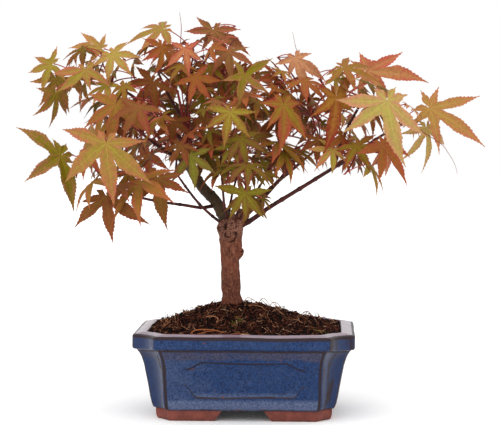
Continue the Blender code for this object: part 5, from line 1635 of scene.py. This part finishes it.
def foot_shape(finish):
    """Four feet cut from one ring, with softened edges."""
    rings = ((2.4, 0), (0.9, 1.0), (0.2, 3.5), (0, FOOT_HEIGHT + 0.4))
    foot = make_object("pot_feet", stack([pot_outline(FOOT_INSET + i, z) for i, z in rings]), finish)
    reach, low, high = 200, -5, FOOT_HEIGHT + 2
    half_x, half_y = (size / 2 - FOOT_INSET - FOOT_THICK for size in (POT_WIDTH, POT_DEPTH))
    arch = FOOT_ARCH / 2
    side_arch = arch * SIDE_ARCH_SHARE
    cutters = [
        box(-half_x, half_x, -half_y, half_y, low, high),
        box(-arch, arch, -reach, reach, low, high, FOOT_ARCH_TOP),
        turned(box(-side_arch, side_arch, -reach, reach, low, high, FOOT_ARCH_TOP)),
    ]
    cut_out(foot, [make_object("cutter", shape) for shape in cutters])
    bevel = foot.modifiers.new("bevel", "BEVEL")
    bevel.width, bevel.segments, bevel.limit_method = FOOT_BEVEL * MM, 2, "ANGLE"
    bevel.angle_limit = math.radians(40)
    settle(foot)
    for face in foot.data.polygons:
        face.use_smooth = False
    return foot


def glaze_finish():
    look = Nodes("blue_glaze", 0.2, 0.22)
    brown, mauve, top, pale, shy = (look.attribute(name) for name in ("brown", "mauve", "top", "pale", "shy"))
    cloud, mottle, grain = look.noise(50, 3), look.noise(800, 5), look.noise(2200, 3)
    blue = look.mottled(mottle, (2, 26, 64), (26, 56, 102))
    blue = look.over(blue, cloud, 0.42, 0.62, 0.4, (24, 50, 90))
    blue = look.over(blue, grain, 0.58, 0.75, 0.5, (60, 86, 128))
    light = look.mottled(mottle, (66, 79, 108), (94, 103, 132))
    # The pale mark is partly paler glaze and partly painted light towards the front's left end
    blue = look.mix(look.maths("MULTIPLY", pale, 0.85), blue, light)
    ragged = look.maths("ADD", mauve, look.between(cloud, 0.3, 0.7, -0.3, 0.3))
    grey = look.mottled(mottle, (44, 44, 64), (66, 65, 88))
    body = look.mix(look.between(ragged, 0.35, 1.1, 0, 0.9), blue, grey)
    # Painted shade: a darker blue in the notches and on the rim's ends and back
    body = look.mix(look.maths("MULTIPLY", shy, 0.7), body, srgb((30, 42, 76)))
    # Painted reflection: the rim's top is painted pale pink, as if it mirrored the white light
    body = look.mix(look.maths("MULTIPLY", top, 0.9), body, srgb((142, 120, 132)))
    worn = look.maths("ADD", brown, look.between(mottle, 0.3, 0.7, -0.2, 0.2))
    colour = look.over(body, worn, 0.3, 0.8, 0.95, (38, 21, 23))
    colour = look.over(colour, look.noise(170, 1), 0.75, 0.79, 0.7, (92, 52, 47))
    look.bump(cloud, 0.0012, 0.35)
    return look.done(colour, look.between(worn, 0.4, 0.9, 0.17, 0.4))


def clay_finish():
    look = Nodes("fired_clay", 0.75, 0.3)
    grain, patch = look.noise(1600, 4), look.noise(150, 3)
    colour = look.mottled(patch, (106, 54, 45), (126, 66, 55))
    colour = look.over(colour, grain, 0.6, 0.75, 0.5, (152, 96, 82))
    colour = look.mix(look.between(grain, 0.25, 0.4, 0.4, 0), colour, srgb((84, 44, 38)))
    look.bump(grain, 0.0003, 0.5)
    return look.done(colour)


# The earth: a mound of crumbs and fibres, with roots and moss


def mound_height(x, y):
    """The height of the mound in millimetres at a place, by its share of the way from rim to trunk."""
    _, foot_x, foot_radius = TRUNK_PROFILE[0]
    top = foot_radius + SOIL_REST
    dx, dy = np.asarray(x, float) - foot_x, np.asarray(y, float)
    out = np.hypot(dx, dy)
    turn = np.arctan2(dy, dx)
    rim = np.interp(turn, RIM_TURNS[0], RIM_TURNS[1], period=2 * np.pi)
    share = np.clip((rim - out) / (rim - top), 0, 1)
    x_turn, y_turn = math.tau * np.asarray(x), math.tau * np.asarray(y)
    lump = sum(high * np.sin(x_turn / along + start) * np.sin(y_turn / across + 2 * start)
               for high, along, across, start in SOIL_WAVES)
    fade = np.clip(SOIL_FADE * np.minimum(share, 1 - share), 0, 1)
    edge = RIM_RISE * (1 - np.clip(share * 4, 0, 1))
    return SOIL_EDGE + (SOIL_TOP - SOIL_EDGE) * share + fade * lump + edge, rim - out


def read_rim():
    """How far the pot's inside lies from the trunk's foot, all round, as (turns, distances)."""
    _, foot_x, _ = TRUNK_PROFILE[0]
    plan = fine_plan(RIM_WIDTH + 0.3, POT_HEIGHT - 2, INNER_NOTCH_SHARE)
    turns = np.arctan2(plan[:, 1], plan[:, 0] - foot_x)
    order = np.argsort(turns)
    return turns[order], np.hypot(plan[:, 0] - foot_x, plan[:, 1])[order]


def soil_mound():
    """The mound's grid, from deep in the pot up over its surface to the trunk's foot."""
    noise = smooth_noise(53)
    foot_x = TRUNK_PROFILE[0][1]
    turn = np.linspace(0, 2 * np.pi, SOIL_COLUMNS, endpoint=False)
    rim = np.interp(turn, RIM_TURNS[0], RIM_TURNS[1], period=2 * np.pi)
    rows = []
    for share in np.linspace(0, 1, SOIL_ROWS):
        out = rim + (SOIL_HEART - rim) * share
        x, y = foot_x + out * np.cos(turn), out * np.sin(turn)
        z, from_rim = mound_height(x, y)
        place = np.stack([x, y, z], -1)
        rough = 1.0 * noise(place, 9) + 1.0 * np.abs(noise(place + 8, 3.4)) + 0.6 * noise(place + 20, 1.6)
        rows.append(np.stack([x, y, z + SOIL_ROUGH * rough * np.clip(from_rim / 3, 0.25, 1) - 0.5], -1))
    low = [np.stack([foot_x + 0.97 * rim * np.cos(turn), 0.97 * rim * np.sin(turn), 0 * turn + z], -1)
           for z in SOIL_SKIRT]
    low[0][:, :2] *= 0.9
    return np.array([*low, *rows])


def dress_soil(finishes):
    """The mound in one piece, and its crumbs, its fibres with the roots, and its moss as three more."""
    ground = Gather()
    ground.add_grid(placed(soil_mound()), 0, closed=True)
    ground = ground.build("soil_mound", [finishes[0]])
    fill_holes(ground)
    wear_soil(ground)

    rng = random.Random(61)
    crumbs = Gather()
    for _ in range(CRUMBS):
        x, y, z = soil_place(rng)
        size = rng.choice(CRUMB_SIZES) * rng.uniform(0.7, 1.3)
        add_lump(crumbs, (x, y, z + 0.2 * size), size, rng, rng.choice(CRUMB_FINISHES))
    wear_soil(crumbs.build("soil_crumbs", finishes, smooth=False))

    fibres = Gather()
    for _ in range(FIBRES):
        x, y, _ = soil_place(rng)
        add_fibre(fibres, x, y, rng)
    for line, radius, finish in ROOTS:
        add_root(fibres, line, radius, finish, ROOT_STEPS, ROOT_SIDES)
    wear_soil(fibres.build("soil_fibres", finishes))

    moss = Gather()
    for x, y, size in MOSS:
        for _ in range(int(MOSS_LUMPS * size)):
            px, py = x + rng.gauss(0, MOSS_SPREAD) * size, y + rng.gauss(0, MOSS_SPREAD) * size
            place = (px, py, float(mound_height(px, py)[0]) + rng.uniform(0, 0.9))
            add_lump(moss, place, rng.uniform(0.35, 0.8), rng, rng.choice(MOSS_FINISHES))
    wear_soil(moss.build("soil_moss", finishes, smooth=False))


def wear_soil(piece):
    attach(piece, "root")
    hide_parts("soil")


def soil_place(rng):
    """A chance place on the mound, in millimetres."""
    while True:
        x, y = rng.uniform(-70, 70), rng.uniform(-52, 52)
        z, from_rim = mound_height(x, y)
        if from_rim > 0.8 and math.hypot(x - TRUNK_PROFILE[0][1], y) > TRUNK_PROFILE[0][2] - 1:
            return x, y, float(z)


def add_lump(gather, place, size, rng, finish):
    """A crumb: a small uneven block of a few faces."""
    turn = Matrix.Rotation(rng.uniform(0, 6.3), 3, any_way(rng))
    long = rng.choice((1.0, 1.0, 1.3, 2.2))
    corners = []
    for x, y, z in itertools.product((-1, 1), repeat=3):
        share = rng.uniform(0.55, 1.0)
        at = turn @ Vector((x * long * share, y * share * rng.uniform(0.7, 1), z * 0.6 * share)) * size / 2
        corners.append([(place[i] + at[i]) * MM + SHIFT[i] for i in range(3)])
    gather.add(corners, LUMP_FACES, finish)


def add_fibre(gather, x, y, rng):
    """A thin curved fibre that lies on the mound, or stands out of it at one end."""
    length = rng.choice(FIBRE_LENGTHS) * rng.uniform(0.7, 1.3)
    heading = rng.uniform(0, 6.3)
    swing = rng.uniform(-0.35, 0.35)
    rise = rng.choice(FIBRE_RISES) * rng.uniform(0.5, 1.4)
    line = []
    for i in range(6):
        z, from_rim = mound_height(x, y)
        if from_rim < 0.5:
            break
        sway = 0.5 * math.sin(i * 1.3 + heading)
        line.append((x, y, float(z) + 0.4 + rise * length * (i / 5) ** 1.3 + sway))
        x += math.cos(heading) * length / 5
        y += math.sin(heading) * length / 5
        heading += swing
    if len(line) > 3:
        radius = rng.choice(FIBRE_RADII)
        add_root(gather, line, radius, rng.choice(FIBRE_FINISHES), FIBRE_STEPS, FIBRE_SIDES)


def add_root(gather, line, radius, finish, steps, sides):
    """A fibre or root along a line, thinner at both ends."""
    fine = finer([Vector(p) for p in line], steps) if len(line) > 3 else array(line)
    radii = np.interp(np.linspace(0, 1, len(fine)), (0, 0.15, 0.7, 1), (0.75, 1, 0.85, 0.4)) * radius
    gather.add_grid(placed(tube_grid(fine, radii, sides)), finish, closed=True)


# Light, camera and the whole


def set_light():
    world = bpy.data.worlds.new("studio")
    world.use_nodes = True
    world.node_tree.nodes["Background"].inputs["Color"].default_value = (1, 1, 1, 1)
    world.node_tree.nodes["Background"].inputs["Strength"].default_value = WORLD_LIGHT
    bpy.context.scene.world = world
    for turn, lean, strength, angle in SUNS:
        sun = bpy.data.lights.new("softbox", "SUN")
        sun.energy, sun.angle = strength, math.radians(angle)
        lamp = bpy.data.objects.new("softbox", sun)
        lamp.rotation_euler = (math.radians(lean), 0, math.radians(turn))
        bpy.context.scene.collection.objects.link(lamp)
    floor = bmesh.new()
    bmesh.ops.create_grid(floor, x_segments=2, y_segments=2, size=FLOOR_SIZE)
    mesh = bpy.data.meshes.new("floor")
    floor.to_mesh(mesh)
    floor.free()
    ground = bpy.data.objects.new("floor", mesh)
    bpy.context.scene.collection.objects.link(ground)
    mesh.materials.append(plain("floor", (FLOOR_COLOUR,) * 3, 1.0, 0.0))
    glow = mesh.materials[0].node_tree.nodes["Principled BSDF"]
    glow.inputs["Emission Color"].default_value = (1, 1, 1, 1)
    glow.inputs["Emission Strength"].default_value = FLOOR_GLOW
    bpy.context.scene.view_settings.view_transform = "Standard"


def set_camera():
    azimuth, yaw, pitch = (math.radians(a) for a in CAMERA_ANGLES)
    away, height = CAMERA_DISTANCE
    lens = bpy.data.cameras.new("camera")
    lens.sensor_width, lens.lens = SENSOR_WIDTH, CAMERA_FOCUS * SENSOR_WIDTH / PICTURE_WIDTH
    lens.clip_end = CLIP_END
    camera = bpy.data.objects.new("camera", lens)
    camera.location = point(away * math.sin(azimuth), -away * math.cos(azimuth), height) + SHIFT
    camera.rotation_euler = (math.pi / 2 - pitch, 0, yaw)
    bpy.context.scene.collection.objects.link(camera)
    bpy.context.scene.camera = camera


def grow_fine_crown():
    """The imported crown, grown again by the same rule and seeds, and then grown on into its own spaces."""
    room = Room()
    limb_lines = {name: limb_line(name) for name in LIMBS}
    for shape in [trunk_shape()] + [knob_shape(knob) for knob in KNOBS]:
        room.add(shape, "trunk")
    for name, line in limb_lines.items():
        room.add(limb_shape(name, line), name)
    crown = [Mass(name, limb_lines[spec[0]], spec, room) for name, spec in MASSES.items()]
    for mass in crown:
        mass.lead()
    for mass in crown:
        mass.fill()
    for mass in crown:
        mass.grow_finer()
    return crown


def pot_middle():
    """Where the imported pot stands, from the middle of the plan."""
    low, high = (Vector(corner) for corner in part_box("pot"))
    return Vector(((low.x + high.x) / 2, (low.y + high.y) / 2, 0))


def main():
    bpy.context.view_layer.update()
    set_camera()
    set_light()
    tints = Tints()
    wood = [plain(name, srgb(colour), *feel) for name, colour, *feel in WOOD_FINISHES]
    for mass in grow_fine_crown():
        dress_mass(mass, tints, wood)
    dress_trunk(trunk_finish())
    dress_limbs()
    dress_pot(glaze_finish(), clay_finish())
    dress_soil([plain(f"earth_{i}", srgb(c), 0.95, 0.1) for i, c in enumerate(EARTH_COLOURS)])


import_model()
RIM_TURNS, SHIFT = read_rim(), pot_middle()
main()
